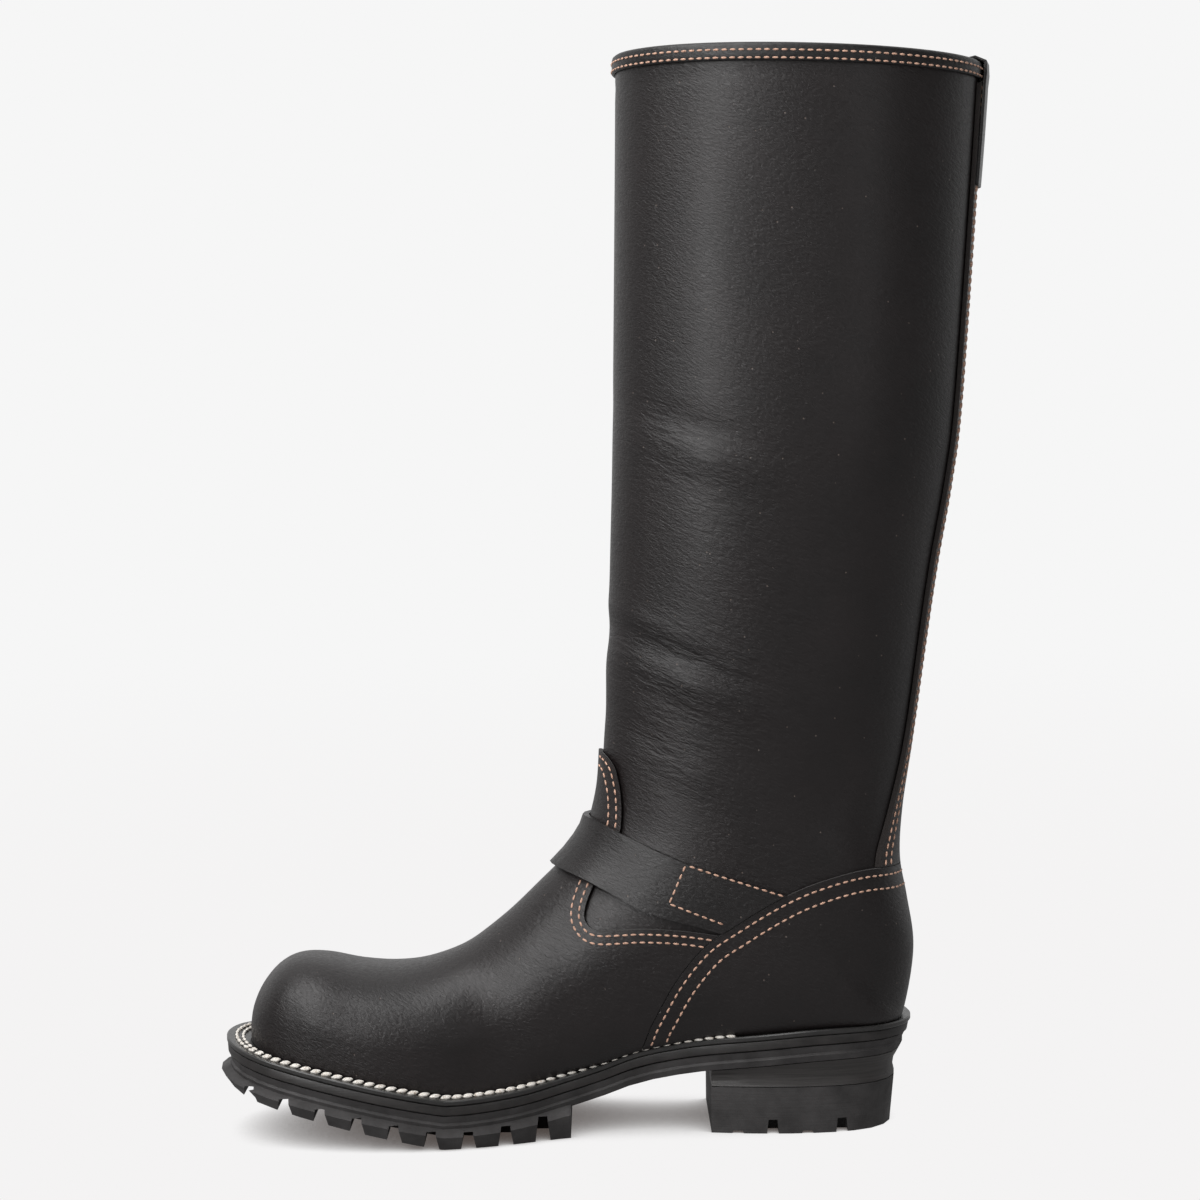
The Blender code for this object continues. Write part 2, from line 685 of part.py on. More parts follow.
def build_outsole(parts, cutters, rubber):
    """A full-length plate with a stepped side, and a block of lugs fused under the forefoot."""
    outsole = levels_object(
        "outsole",
        [
            heel_level(PLATE_INSET + SIDE_STEP, HEEL_DRAW, plate_bottom),
            heel_level(PLATE_INSET, HEEL_DRAW * 0.8, part_way(plate_bottom, sole_line, 0.4)),
            heel_level(PLATE_INSET + SIDE_STEP, HEEL_DRAW * 0.7, part_way(plate_bottom, sole_line, 0.55)),
            heel_level(PLATE_INSET, HEEL_DRAW * 0.45, sole_line),
        ],
        parts,
    )
    tread = levels_object(
        "tread_block",
        [
            at_height(inset_loop(PLATE_INSET), tread_bottom),
            at_height(inset_loop(-LUG_FLARE), part_way(tread_bottom, plate_bottom, 0.8)),
            at_height(inset_loop(PLATE_INSET + 2 * SIDE_STEP), part_way(plate_bottom, sole_line, 0.3)),
        ],
        cutters,
    )
    tread_end_x = HEEL_OVERHANG - TREAD_END
    far = 2 * SOLE_LENGTH
    behind = box_object("behind_tread", ((tread_end_x, -far, -far), (far, far, far)), cutters)
    boolean(tread, "DIFFERENCE", behind)
    tread.hide_render = True
    tread.display_type = "WIRE"
    boolean(outsole, "UNION", tread)
    beyond = 3 * WELT_LEDGE
    grooves = {"inner": [], "outer": [], "middle": []}
    for i in range(1 + int((SOLE_LENGTH - TREAD_END - GROOVE_START) / LUG_PITCH)):
        x = tread_end_x - GROOVE_START - i * LUG_PITCH
        inner = float(feather_y(max(x, FEATHER_TOE), -1))
        outer = float(feather_y(max(x, FEATHER_TOE), 1))
        grooves["inner"].append(
            groove_cutter(f"inner_{i}", x, inner - beyond, inner + GROOVE_REACH, GROOVE_WIDTH, cutters)
        )
        grooves["outer"].append(
            groove_cutter(f"outer_{i}", x, outer - GROOVE_REACH, outer + beyond, GROOVE_WIDTH, cutters)
        )
        reach = (outer - inner) / 2 - CENTRE_GROOVE_MARGIN
        if reach > CENTRE_GROOVE_MARGIN / 2:
            middle = (inner + outer) / 2
            between = x + LUG_PITCH / 2
            low = middle - reach
            high = middle + reach
            grooves["middle"].append(
                groove_cutter(f"middle_{i}", between, low, high, CENTRE_GROOVE_WIDTH, cutters)
            )
    for name, cuts in grooves.items():
        thin_boolean(outsole, "DIFFERENCE", merged_cutters(f"{name}_grooves", cuts, cutters))
    finish(outsole, rubber)


def build_heel(parts, cutters, stack_leather, rubber):
    """The stacked base with its hollowed side, and the thick rubber lift with cleats."""
    breast_x = HEEL_OVERHANG - HEEL_LENGTH
    far = SOLE_LENGTH * 2
    ahead = box_object("ahead_of_heel", ((-far, -far, -far), (breast_x, far, far)), cutters)

    def low(x):
        return np.full(np.shape(x), TOPLIFT_THICKNESS + GAP)

    def high(x):
        return plate_bottom(x) - GAP

    base = levels_object(
        "heel_base",
        [
            heel_level(HEEL_INSET, HEEL_DRAW * 1.35, low),
            heel_level(HEEL_INSET + HEEL_HOLLOW * 0.8, HEEL_DRAW * 1.25, part_way(low, high, 0.3)),
            heel_level(HEEL_INSET + HEEL_HOLLOW * 0.5, HEEL_DRAW * 1.15, part_way(low, high, 0.65)),
            heel_level(PLATE_INSET + SIDE_STEP, HEEL_DRAW * 1.1, high),
        ],
        parts,
    )
    boolean(base, "DIFFERENCE", ahead)
    finish(base, stack_leather)

    lift = levels_object(
        "heel_toplift",
        [
            heel_level(HEEL_INSET + EDGE_DRAFT, HEEL_DRAW * 1.9, 0.0),
            heel_level(HEEL_INSET, HEEL_DRAW * 1.35, TOPLIFT_THICKNESS),
        ],
        parts,
    )
    boolean(lift, "DIFFERENCE", ahead)
    near_middle = np.abs(PLAN_LOOP[:, 0]) < HEEL_LENGTH / 3
    edge = float(np.abs(inset_loop(HEEL_INSET)[near_middle, 1]).max())
    notches = []
    for i in range(2):
        deep_x = breast_x + NOTCH_START + i * NOTCH_PITCH
        for side in (-1, 1):
            across = sorted((side * (edge - NOTCH_DEPTH), side * (edge + NOTCH_DEPTH)))
            for x, height in ((deep_x, NOTCH_HEIGHT), (deep_x - NOTCH_PITCH / 2, SMALL_NOTCH_HEIGHT)):
                half = NOTCH_WIDTH / 2
                top = half * NOTCH_TAPER
                outline = [(x - half, -height), (x + half, -height), (x + top, height), (x - top, height)]
                notches.append(prism_object("notch", outline, "y", across[0], across[1], cutters))
    boolean(lift, "DIFFERENCE", merged_cutters("cleat_notches", notches, cutters))
    finish(lift, rubber)


def build_flat_layers(parts, midsole_leather, welt_leather, insole_leather):
    """Midsole, welt and insole, each following the sole's side line."""

    def midsole_low(x):
        return sole_line(x) + GAP

    def welt_low(x):
        return midsole_top(x) + GAP

    def insole_low(x):
        return midsole_top(x) + 2 * GAP

    def insole_top(x):
        return insole_low(x) + INSOLE_THICKNESS

    midsole = levels_object(
        "midsole",
        [
            heel_level(PLATE_INSET, HEEL_DRAW * 0.45, midsole_low),
            heel_level(EDGE_DRAFT, HEEL_DRAW * 0.15, midsole_top),
        ],
        parts,
    )
    finish(midsole, midsole_leather)
    welt = levels_object(
        "welt",
        [
            at_height(inset_loop(EDGE_DRAFT / 2), welt_low),
            at_height(inset_loop(0.0), welt_top),
            at_height(inset_loop(WELT_TUCK, 1.0), welt_top),
            at_height(inset_loop(WELT_TUCK, 1.0), welt_low),
        ],
        parts,
        ring=True,
    )
    finish(welt, welt_leather)
    insole_outline = inset_loop(WELT_TUCK + GAP, 1.0)
    insole = levels_object(
        "insole", [at_height(insole_outline, insole_low), at_height(insole_outline, insole_top)], parts
    )
    finish(insole, insole_leather)


def overlay_sheet(name, offset, collection, grid, normals):
    """The upper's outer face moved out by an offset, or by a function of each point."""
    lift = offset(grid) if callable(offset) else np.full(grid.shape[:2], offset)
    return grid_object(name, grid + normals * lift[..., None], collection)


def build_upper(parts, grid, normals, mat):
    """Shaft and foot as one hollow wall, open at the collar and along the feather line."""
    upper = overlay_sheet("upper", 0.0, parts, grid, normals)
    solidify(upper, WALL, -1)
    finish(upper, mat)


def build_counter(parts, cutters, grid, normals, mat):
    """The heel overlay, from the back seam round both sides down to the welt."""
    edge = side_curve(COUNTER_EDGE)
    edge = edge[edge[:, 1] > feather_height(edge[:, 0])]
    far = SOLE_LENGTH
    outline = np.concatenate([edge, feather_run(edge[-1, 0], FEATHER_BACK + WELT_LEDGE, 24, 0.0)])
    counter = overlay_sheet("counter", GAP, parts, grid, normals)
    solidify(counter, OVERLAY, 1)
    thin_boolean(counter, "INTERSECT", prism_object("counter_outline", outline, "y", -far, far, cutters))
    finish(counter, mat)
    grown = np.concatenate(
        [moved(edge, -GAP), feather_run(edge[-1, 0] - GAP, FEATHER_BACK + WELT_LEDGE, 24, -WELT_LEDGE)]
    )
    return prism_object("counter_clearance", grown, "y", -far, far, cutters)


def build_vamp(parts, cutters, grid, normals, counter_clearance, mat):
    """The foot's overlay, with a rounded tab up the front of the shaft."""
    edge = side_curve(THROAT_EDGE)
    far = SOLE_LENGTH
    ahead = FEATHER_TOE - WELT_LEDGE
    rear_x = FEATHER_BACK - WELT_LEDGE
    outline = np.concatenate(
        [
            [(ahead, edge[0, 1])],
            edge,
            [(rear_x, edge[-1, 1])],
            feather_run(rear_x, ahead, 60, 0.0),
        ]
    )
    vamp = overlay_sheet("vamp", GAP, parts, grid, normals)
    solidify(vamp, OVERLAY, 1)
    thin_boolean(vamp, "INTERSECT", prism_object("vamp_outline", outline, "y", -far, far, cutters))
    thin_boolean(vamp, "DIFFERENCE", counter_clearance)
    finish(vamp, mat)


def collar_point(rear):
    """Height of the collar's cut edge, at the front or at the back."""
    return SEAT_HEIGHT + SHAFT_RISE * SHAFT[-1][SHAFT_COLUMNS.index("rear_up" if rear else "front_up")]


def build_backstay(parts, cutters, grid, normals, counter_clearance, mat):
    """The strip over the back seam, flared where it goes under the counter."""
    up = np.linspace(BACKSTAY[0][0], 1.0, BACKSTAY_STEPS)
    shares = curve_through(
        column(BACKSTAY, BACKSTAY_COLUMNS, "up"), column(BACKSTAY, BACKSTAY_COLUMNS, "half"), up
    )
    half = shares * PULL_WIDTH
    z = np.minimum(SEAT_HEIGHT + up * SHAFT_RISE, collar_point(True) - BINDING_DEPTH - GAP)
    kept = np.concatenate([np.diff(z) > GAP, [True]])
    edge = np.column_stack([half, z])[kept]
    outline = np.concatenate([edge, (edge * (-1.0, 1.0))[::-1]])
    backstay = overlay_sheet("backstay", GAP, parts, grid, normals)
    solidify(backstay, OVERLAY, 1)
    thin_boolean(
        backstay, "INTERSECT", prism_object("backstay_outline", outline, "x", 0.0, SOLE_LENGTH, cutters)
    )
    thin_boolean(backstay, "DIFFERENCE", counter_clearance)
    finish(backstay, mat)


def shaft_section(below):
    """The number of the section that lies a length below the collar, on the front line."""
    marks = np.linspace(len(FOOT) + len(SHAFT) / 2, LAST_SECTION, 10 * len(SHAFT))
    heights = curve_through(np.arange(LAST_SECTION + 1), SECTIONS["front_z"], marks)
    return float(np.interp(collar_point(False) - below, heights, marks))


def collar_loop(below, out, rise=0.0):
    """The shaft's section a length below the collar, moved out from its outer face and raised."""
    turn = np.linspace(0, 1, ROUND_SEGMENTS + 1)
    t = shaft_section(below)
    inner = upper_surface([t], turn, -1)[0]
    outer = upper_surface([t], turn, 1)[0]
    loop = np.concatenate([inner[::-1], outer[1:-1]])
    ahead = np.roll(loop, -1, axis=0) - np.roll(loop, 1, axis=0)
    normals = np.stack([-ahead[:, 1], ahead[:, 0]], axis=1)
    normals /= np.linalg.norm(normals, axis=1)[:, None]
    loop[:, :2] += normals * out
    loop[:, 2] += rise
    return loop


def build_binding(parts, mat):
    """The folded leather edge that covers both faces and the rim of the collar."""
    outside = GAP
    inside = -WALL - GAP
    crown = GAP + BINDING_THICKNESS
    shoulder = GAP + BINDING_THICKNESS * 0.6
    binding = levels_object(
        "collar_binding",
        [
            collar_loop(BINDING_DEPTH, outside + BINDING_THICKNESS),
            collar_loop(0.0, outside + BINDING_THICKNESS, shoulder),
            collar_loop(0.0, 0.0, crown),
            collar_loop(0.0, -WALL, crown),
            collar_loop(0.0, inside - BINDING_THICKNESS, shoulder),
            collar_loop(BINDING_DEPTH, inside - BINDING_THICKNESS),
            collar_loop(BINDING_DEPTH, inside),
            collar_loop(0.0, inside, GAP),
            collar_loop(0.0, outside, GAP),
            collar_loop(BINDING_DEPTH, outside),
        ],
        parts,
        ring=True,
    )
    finish(binding, mat)


def strip_object(name, path, half_width, thickness, place, collection, across_steps):
    """A strap: a smooth path in its own length and height, with a thickness, laid out by `place`."""
    ahead = np.gradient(path, axis=0)
    left = np.column_stack([-ahead[:, 1], ahead[:, 0]])
    left /= np.linalg.norm(left, axis=1)[:, None]
    lower = path - left * thickness / 2
    upper = path + left * thickness / 2
    across = np.linspace(-half_width, half_width, across_steps + 1)
    bm = bmesh.new()
    rows = []
    for low, high in zip(lower, upper):
        ring = [place(low[0], a, low[1]) for a in across] + [place(high[0], a, high[1]) for a in across[::-1]]
        rows.append([bm.verts.new(point) for point in ring])
    count = len(rows[0])
    for first, second in zip(rows, rows[1:]):
        for i in range(count):
            j = (i + 1) % count
            bm.faces.new((first[i], first[j], second[j], second[i]))
    for row in (rows[0], rows[-1]):
        for i in range(across_steps):
            bm.faces.new((row[i], row[i + 1], row[count - i - 2], row[count - i - 1]))
    bmesh.ops.triangulate(bm, faces=bm.faces)
    bmesh.ops.recalc_face_normals(bm, faces=bm.faces)
    return new_mesh_object(name, bm, collection)


def smooth_path(points, count):
    points = np.asarray(points, float)
    run = np.concatenate([[0.0], np.cumsum(np.linalg.norm(np.diff(points, axis=0), axis=1))])
    marks = np.linspace(0, run[-1], count)
    return np.column_stack([curve_through(run, points[:, i], marks) for i in range(2)])


def build_pull_strap(parts, mat):
    """A loop of doubled leather from the backstay over the rim and down inside the shaft. Its path is
    a run of heights above the collar and distances out from the shaft's outer face."""
    half = PULL_THICKNESS / 2
    outside = GAP + OVERLAY + GAP + half
    inside = -WALL - GAP - half
    behind_binding = inside - BINDING_THICKNESS - 2 * GAP
    rim = 3 * GAP + BINDING_THICKNESS + half
    path = smooth_path(
        [
            (-PULL_DROP, outside),
            (-PULL_DROP * 0.75, outside + PULL_BOW * 0.15),
            (-PULL_DROP * 0.4, outside + PULL_BOW * 0.3),
            (-PULL_DROP * 0.12, outside + PULL_BOW * 0.3),
            (rim - half, outside),
            (rim + half * 0.4, outside * 0.2),
            (rim + half * 0.4, inside * 0.4),
            (rim - half * 0.8, behind_binding),
            (-PULL_DROP * 0.12, behind_binding - GAP),
            (-PULL_DROP * 0.3, inside - GAP),
            (-PULL_DROP * 0.7, inside),
        ],
        PULL_STEPS,
    )

    def place(above, y, out):
        loop = collar_loop(max(-above, 0.0), 0.0)
        rear = loop[loop[:, 0] > loop[:, 0].mean()]
        rear = rear[np.argsort(rear[:, 1])]
        x = float(np.interp(y, rear[:, 1], rear[:, 0])) + out
        z = float(np.interp(y, rear[:, 1], rear[:, 2])) + max(above, 0.0)
        return (x, y, z)

    strap = strip_object("pull_strap", path, PULL_WIDTH / 2, PULL_THICKNESS, place, parts, 4)
    finish(strap, mat)


def strap_middle(x):
    """Height of the instep strap's centre line in side view."""
    top = side_curve(STRAP_TOP)
    low = side_curve(STRAP_BOTTOM)
    return (np.interp(x, top[:, 0], top[:, 1]) + np.interp(x, low[:, 0], low[:, 1])) / 2


class BuckleSeat:
    """The flat place on the outer side where the buckle lies, with its own axes."""

    def __init__(self):
        fine = upper_grid(4, 4 * ROUND_SEGMENTS)
        half = fine[:, fine.shape[1] // 2 :]
        rows, cols = half.shape[:2]
        faces = [
            (i * cols + j, (i + 1) * cols + j, (i + 1) * cols + j + 1, i * cols + j + 1)
            for i in range(rows - 1)
            for j in range(cols - 1)
        ]
        self.tree = BVHTree.FromPolygons([Vector(p) for p in half.reshape(-1, 3)], faces)
        bar_x = FEATHER_BACK - BUCKLE_SETBACK
        reach = BUCKLE_LENGTH / 5
        self.origin = self.on_side(bar_x, 0.0)
        ahead = self.on_side(bar_x - BUCKLE_LENGTH / 2 - reach, 0.0)
        behind = self.on_side(bar_x + reach, 0.0)
        self.along = (behind - ahead).normalized()
        upward = self.on_side(bar_x, reach) - self.on_side(bar_x, -reach)
        self.out = self.along.cross(upward).normalized()
        if self.out.y < 0:
            self.out = -self.out
        self.across = self.out.cross(self.along).normalized()
        if self.across.z < 0:
            self.across = -self.across

    def on_side(self, x, above):
        """The point of the upper at x, a length above the strap's middle."""
        start = Vector((x, SOLE_LENGTH, float(strap_middle(x)) + above))
        return self.tree.ray_cast(start, Vector((0, -1, 0)))[0]

    def point(self, along, across, out):
        return self.origin + self.along * along + self.across * across + self.out * out

    def ground(self, along, across):
        """How far the upper stands above the seat at a place on it."""
        start = self.point(along, across, SOLE_LENGTH / 10)
        hit = self.tree.ray_cast(start, -self.out)[0]
        return (hit - self.origin).dot(self.out)

    def bent_point(self, along, across, out):
        """A point that leaves the flat seat and follows the upper behind the keeper."""
        share = float(follow_share(along))
        return self.point(along, across, out + share * self.ground(along, across) if share > 0 else out)

    def heights(self, points):
        """How far along, across and above the seat each point lies."""
        away = points - np.array(self.origin)
        return away @ np.array(self.along), away @ np.array(self.across), away @ np.array(self.out)


def follow_share(along):
    """How much a strap follows the upper: not over the buckle's seat, and wholly well behind it."""
    start = KEEPER_BEHIND_BAR + KEEPER_WIDTH / 2
    share = np.clip((np.asarray(along, float) - start) / BUCKLE_LENGTH, 0.0, 1.0)
    return share**2 * (3 - 2 * share)


def bar_heights():
    """Heights above the buckle's seat of its rear bar, and of the chape's loop over that bar."""
    bar = GAP + CHAPE_THICKNESS + GAP + BUCKLE_WIRE
    return bar, bar + BUCKLE_WIRE + GAP + CHAPE_THICKNESS


def strap_lift(seat):
    """How far the instep strap lies off the upper: over the vamp's tab, and over the buckle's parts."""
    throat = side_curve(THROAT_EDGE)
    tab = throat[throat[:, 1] > SEAT_HEIGHT + TAB_ROOT * INSTEP_RISE][::-1]
    bar, _ = bar_heights()
    over_prong = bar + BUCKLE_WIRE + 2 * (GAP + PRONG_RADIUS) + GAP
    over_tab = OVERLAY + 3 * GAP
    over_chape = 2 * (GAP + CHAPE_THICKNESS) + 2 * GAP
    marks = [-BUCKLE_LENGTH * 0.8, -BUCKLE_LENGTH * 0.2, 2 * BUCKLE_WIRE, CHAPE_RETURN]
    levels = [0.0, over_prong, over_prong + GAP, over_chape]

    def lift(grid):
        edge_x = np.interp(grid[..., 2], tab[:, 1], tab[:, 0])
        fall = np.clip((grid[..., 0] - edge_x - OVERLAY) / TAB_RAMP, 0.0, 1.0)
        lifted = over_tab + (GAP - over_tab) * fall
        along, _, height = seat.heights(grid)
        wanted = np.interp(along, marks, levels) + GAP - height * (1 - follow_share(along))
        near = (grid[..., 1] > 0) & (along > marks[0])
        return np.where(near, np.maximum(lifted, wanted), lifted)

    return lift


def build_instep_strap(parts, cutters, seat, counter_clearance, mat):
    """The belt over the instep. It ends under the counter on the inner side and in a free tip outside."""
    far = SOLE_LENGTH
    top = side_curve(STRAP_TOP)
    low = side_curve(STRAP_BOTTOM)
    outline = np.concatenate([top, low[::-1]])
    first, last = STRAP_ROWS
    grid = upper_grid(2, 2 * ROUND_SEGMENTS)[2 * first - TOE_ROWS : 2 * last - TOE_ROWS]
    strap = overlay_sheet("instep_strap", strap_lift(seat), parts, grid, grid_normals_inside(grid))
    solidify(strap, STRAP_THICKNESS, 1)
    thin_boolean(strap, "INTERSECT", prism_object("strap_outline", outline, "y", -far, far, cutters))
    inner_end = counter_clearance.copy()
    inner_end.data = counter_clearance.data.copy()
    inner_end.name = "counter_clearance_inner"
    cutters.objects.link(inner_end)
    for vert in inner_end.data.vertices:
        vert.co.y = min(vert.co.y, 0.0)
    thin_boolean(strap, "DIFFERENCE", inner_end)
    tip_x = FEATHER_BACK - BUCKLE_SETBACK + TAIL_LENGTH
    tip_z = float(strap_middle(tip_x))
    width = float(np.interp(tip_x, top[:, 0], top[:, 1]) - np.interp(tip_x, low[:, 0], low[:, 1]))
    radius = 0.55 * width
    angles = np.linspace(-0.5 * math.pi, 0.5 * math.pi, 9)
    tip = [(tip_x - radius + radius * math.cos(a), tip_z + 1.2 * radius * math.sin(a)) for a in angles]
    beyond = 2 * width
    outer_end = prism_object(
        "strap_tip",
        [(tip_x - radius, tip_z - beyond)]
        + tip
        + [(tip_x - radius, tip_z + beyond), (FEATHER_BACK, tip_z + beyond), (FEATHER_BACK, tip_z - beyond)],
        "y",
        0.0,
        far,
        cutters,
    )
    thin_boolean(strap, "DIFFERENCE", outer_end)
    hole_low = (-BUCKLE_LENGTH * 0.72, -SLOT_WIDTH / 2, GAP)
    hole_high = (-BUCKLE_WIRE * 1.2, SLOT_WIDTH / 2, BUCKLE_LENGTH)
    thin_boolean(strap, "DIFFERENCE", seat_box("prong_hole", seat, hole_low, hole_high, cutters))
    finish(strap, mat)


def seat_box(name, seat, low, high, collection):
    """A box cutter in the buckle seat's own axes."""
    box = box_object(name, (low, high), collection)
    for vert in box.data.vertices:
        vert.co = seat.point(*vert.co)
    bm = bmesh.new()
    bm.from_mesh(box.data)
    bmesh.ops.recalc_face_normals(bm, faces=bm.faces)
    bm.to_mesh(box.data)
    bm.free()
    return box


def build_chape(parts, cutters, seat, counter_clearance, mat):
    """A short strap from under the counter that loops round the buckle's bar and comes back on itself."""
    bar, loop_top = bar_heights()
    half = CHAPE_THICKNESS / 2
    radius = BUCKLE_WIRE + GAP + half
    rear = BUCKLE_SETBACK * 0.55
    flat = [(a, GAP + half) for a in np.linspace(rear, CHAPE_RETURN, 8)]
    turn = [(-radius * math.sin(a), bar - radius * math.cos(a)) for a in np.linspace(0, math.pi, 9)]
    back = [
        (CHAPE_RETURN * 0.35, loop_top - half * 1.3),
        (CHAPE_RETURN * 0.7, 2 * GAP + 3.6 * half),
        (CHAPE_RETURN, 2 * GAP + 3 * half),
    ]
    path = np.array(flat + turn + back)
    chape = strip_object("buckle_strap", path, CHAPE_WIDTH / 2, CHAPE_THICKNESS, seat.bent_point, parts, 4)
    slot_low = (-2 * radius, -SLOT_WIDTH / 2, GAP)
    slot_high = (2 * radius, SLOT_WIDTH / 2, 2 * loop_top)
    boolean(chape, "DIFFERENCE", seat_box("chape_slot", seat, slot_low, slot_high, cutters))
    thin_boolean(chape, "DIFFERENCE", counter_clearance)
    finish(chape, mat)


def tube_object(name, points, radius, cyclic, collection):
    """A round bar along a run of points, as a closed mesh."""
    curve = bpy.data.curves.new(name, "CURVE")
    curve.dimensions = "3D"
    curve.bevel_depth = radius
    curve.bevel_resolution = 2
    curve.use_fill_caps = not cyclic
    spline = curve.splines.new("POLY")
    spline.points.add(len(points) - 1)
    for target, point in zip(spline.points, points):
        target.co = (*point, 1.0)
    spline.use_cyclic_u = cyclic
    helper = bpy.data.objects.new(name + "_path", curve)
    collection.objects.link(helper)
    graph = bpy.context.evaluated_depsgraph_get()
    mesh = bpy.data.meshes.new_from_object(helper.evaluated_get(graph))
    bpy.data.objects.remove(helper, do_unlink=True)
    bm = bmesh.new()
    bm.from_mesh(mesh)
    bmesh.ops.remove_doubles(bm, verts=bm.verts, dist=0.001 * MM)
    return new_mesh_object(name, bm, collection)


def build_buckle(parts, seat, metal):
    """A plain wire frame with rounded corners, and the prong that lies on its front bar."""
    bar, _ = bar_heights()
    front = GAP + STRAP_THICKNESS + GAP + BUCKLE_WIRE + GAP
    half = BUCKLE_INNER_WIDTH / 2 + BUCKLE_WIRE
    corner = BUCKLE_CORNER
    points = []
    for along, across, start in (
        (-corner, half - corner, 0.0),
        (-BUCKLE_LENGTH + corner, half - corner, 0.5),
        (-BUCKLE_LENGTH + corner, -half + corner, 1.0),
        (-corner, -half + corner, 1.5),
    ):
        for a in np.linspace(start * math.pi, (start + 0.5) * math.pi, 5):
            x = along + corner * math.cos(a)
            height = bar - (front - bar) * x / BUCKLE_LENGTH
            points.append(seat.point(x, across + corner * math.sin(a), height))
    frame = tube_object("buckle_frame", points, BUCKLE_WIRE, True, parts)
    finish(frame, metal)
    wrap = BUCKLE_WIRE + GAP + PRONG_RADIUS
    angles = np.linspace(-0.1 * math.pi, 0.55 * math.pi, 7)
    hook = [(wrap * math.cos(a), bar + wrap * math.sin(a)) for a in angles]
    rest = front + BUCKLE_WIRE + GAP + PRONG_RADIUS
    tip = -BUCKLE_LENGTH - 2 * PRONG_RADIUS
    run = hook + [(-BUCKLE_LENGTH * 0.5, (rest + bar + wrap) / 2), (-BUCKLE_LENGTH, rest), (tip, rest)]
    prong = tube_object(
        "buckle_prong", [seat.point(a, 0.0, h) for a, h in run], PRONG_RADIUS, False, parts
    )
    finish(prong, metal)


def build_keeper(parts, seat, mat):
    """A small leather arch that holds the strap's tail down. Its lower leg stands on the vamp."""
    centre = KEEPER_BEHIND_BAR
    half = KEEPER_THICKNESS / 2
    top = 2 * (GAP + CHAPE_THICKNESS) + 4 * GAP + STRAP_THICKNESS + KEEPER_THICKNESS
    side = BUCKLE_INNER_WIDTH / 2 + half + GAP
    corner = KEEPER_CORNER
    low_foot = seat.ground(centre, -side) + OVERLAY + 3 * GAP + half
    high_foot = seat.ground(centre, side) + GAP + half
    bend = [
        (-side + corner - corner * math.cos(a), top - corner + (corner + half) * math.sin(a))
        for a in np.linspace(0.2, math.pi / 2, 4)
    ]
    left = [(-side, low_foot), (-side, top - corner)] + bend
    right = [(-a, b) for a, b in bend[::-1]] + [(side, top - corner), (side, high_foot)]
    keeper = strip_object(
        "strap_keeper",
        np.array(left + right),
        KEEPER_WIDTH / 2,
        KEEPER_THICKNESS,
        lambda across, along, out: seat.point(centre + along, across, out),
        parts,
        1,
    )
    finish(keeper, mat)


def main():
    clear_scene()
    parts = bpy.data.collections.new("engineer_boot")
    cutters = bpy.data.collections.new("cutters")
    bpy.context.scene.collection.children.link(parts)
    bpy.context.scene.collection.children.link(cutters)
    rubber = material("black rubber", (0.012, 0.012, 0.013), 0.75)
    lift_rubber = material("black lift rubber", (0.012, 0.012, 0.013), 0.75)
    stack = material("black stacked leather", (0.014, 0.013, 0.013), 0.6)
    midsole_leather = material("black midsole leather", (0.013, 0.012, 0.012), 0.6)
    welt_leather = material("black welt leather", (0.02, 0.018, 0.017), 0.5)
    insole_leather = material("natural insole leather", (0.35, 0.22, 0.13), 0.8)
    leathers = {
        name: material(f"black {name} leather", (0.020, 0.017, 0.015), 0.45)
        for name in ("shaft", "counter", "vamp", "backstay", "binding", "pull strap", "strap")
    }
    metal = material("nickel plated steel", (0.55, 0.54, 0.52), 0.3, 1.0)
    build_outsole(parts, cutters, rubber)
    build_heel(parts, cutters, stack, lift_rubber)
    build_flat_layers(parts, midsole_leather, welt_leather, insole_leather)
    grid = upper_grid(2, ROUND_SEGMENTS)
    normals = grid_normals(grid)
    build_upper(parts, grid, normals, leathers["shaft"])
    counter_clearance = build_counter(parts, cutters, grid, normals, leathers["counter"])
    build_vamp(parts, cutters, grid, normals, counter_clearance, leathers["vamp"])
    build_backstay(parts, cutters, grid, normals, counter_clearance, leathers["backstay"])
    build_binding(parts, leathers["binding"])
    build_pull_strap(parts, leathers["pull strap"])
    seat = BuckleSeat()
    build_instep_strap(parts, cutters, seat, counter_clearance, leathers["strap"])
    build_chape(parts, cutters, seat, counter_clearance, leathers["strap"])
    build_keeper(parts, seat, leathers["strap"])
    build_buckle(parts, seat, metal)


main()
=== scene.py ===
"""Engineer boot for the right foot, seen from its inner side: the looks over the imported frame.

Metres, +Z up. The toe points to -X and the inner side of the foot faces -Y.
"""

import math

import bmesh
import bpy
import numpy as np
from mathutils import Matrix, Vector
from mathutils.bvhtree import BVHTree


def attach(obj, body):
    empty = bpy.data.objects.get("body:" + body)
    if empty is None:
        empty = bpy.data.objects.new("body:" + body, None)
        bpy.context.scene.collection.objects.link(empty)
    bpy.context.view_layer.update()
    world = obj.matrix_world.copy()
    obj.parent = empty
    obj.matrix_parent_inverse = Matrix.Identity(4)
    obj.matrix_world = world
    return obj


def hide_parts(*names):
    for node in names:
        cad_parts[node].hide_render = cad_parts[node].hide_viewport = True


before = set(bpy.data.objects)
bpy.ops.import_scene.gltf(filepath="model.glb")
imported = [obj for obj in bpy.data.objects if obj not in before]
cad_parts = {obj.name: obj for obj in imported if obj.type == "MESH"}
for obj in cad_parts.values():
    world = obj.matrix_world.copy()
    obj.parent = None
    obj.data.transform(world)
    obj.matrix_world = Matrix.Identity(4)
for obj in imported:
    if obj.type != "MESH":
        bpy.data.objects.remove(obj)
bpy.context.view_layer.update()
MM = 0.001
scene = bpy.context.scene
collection = scene.collection


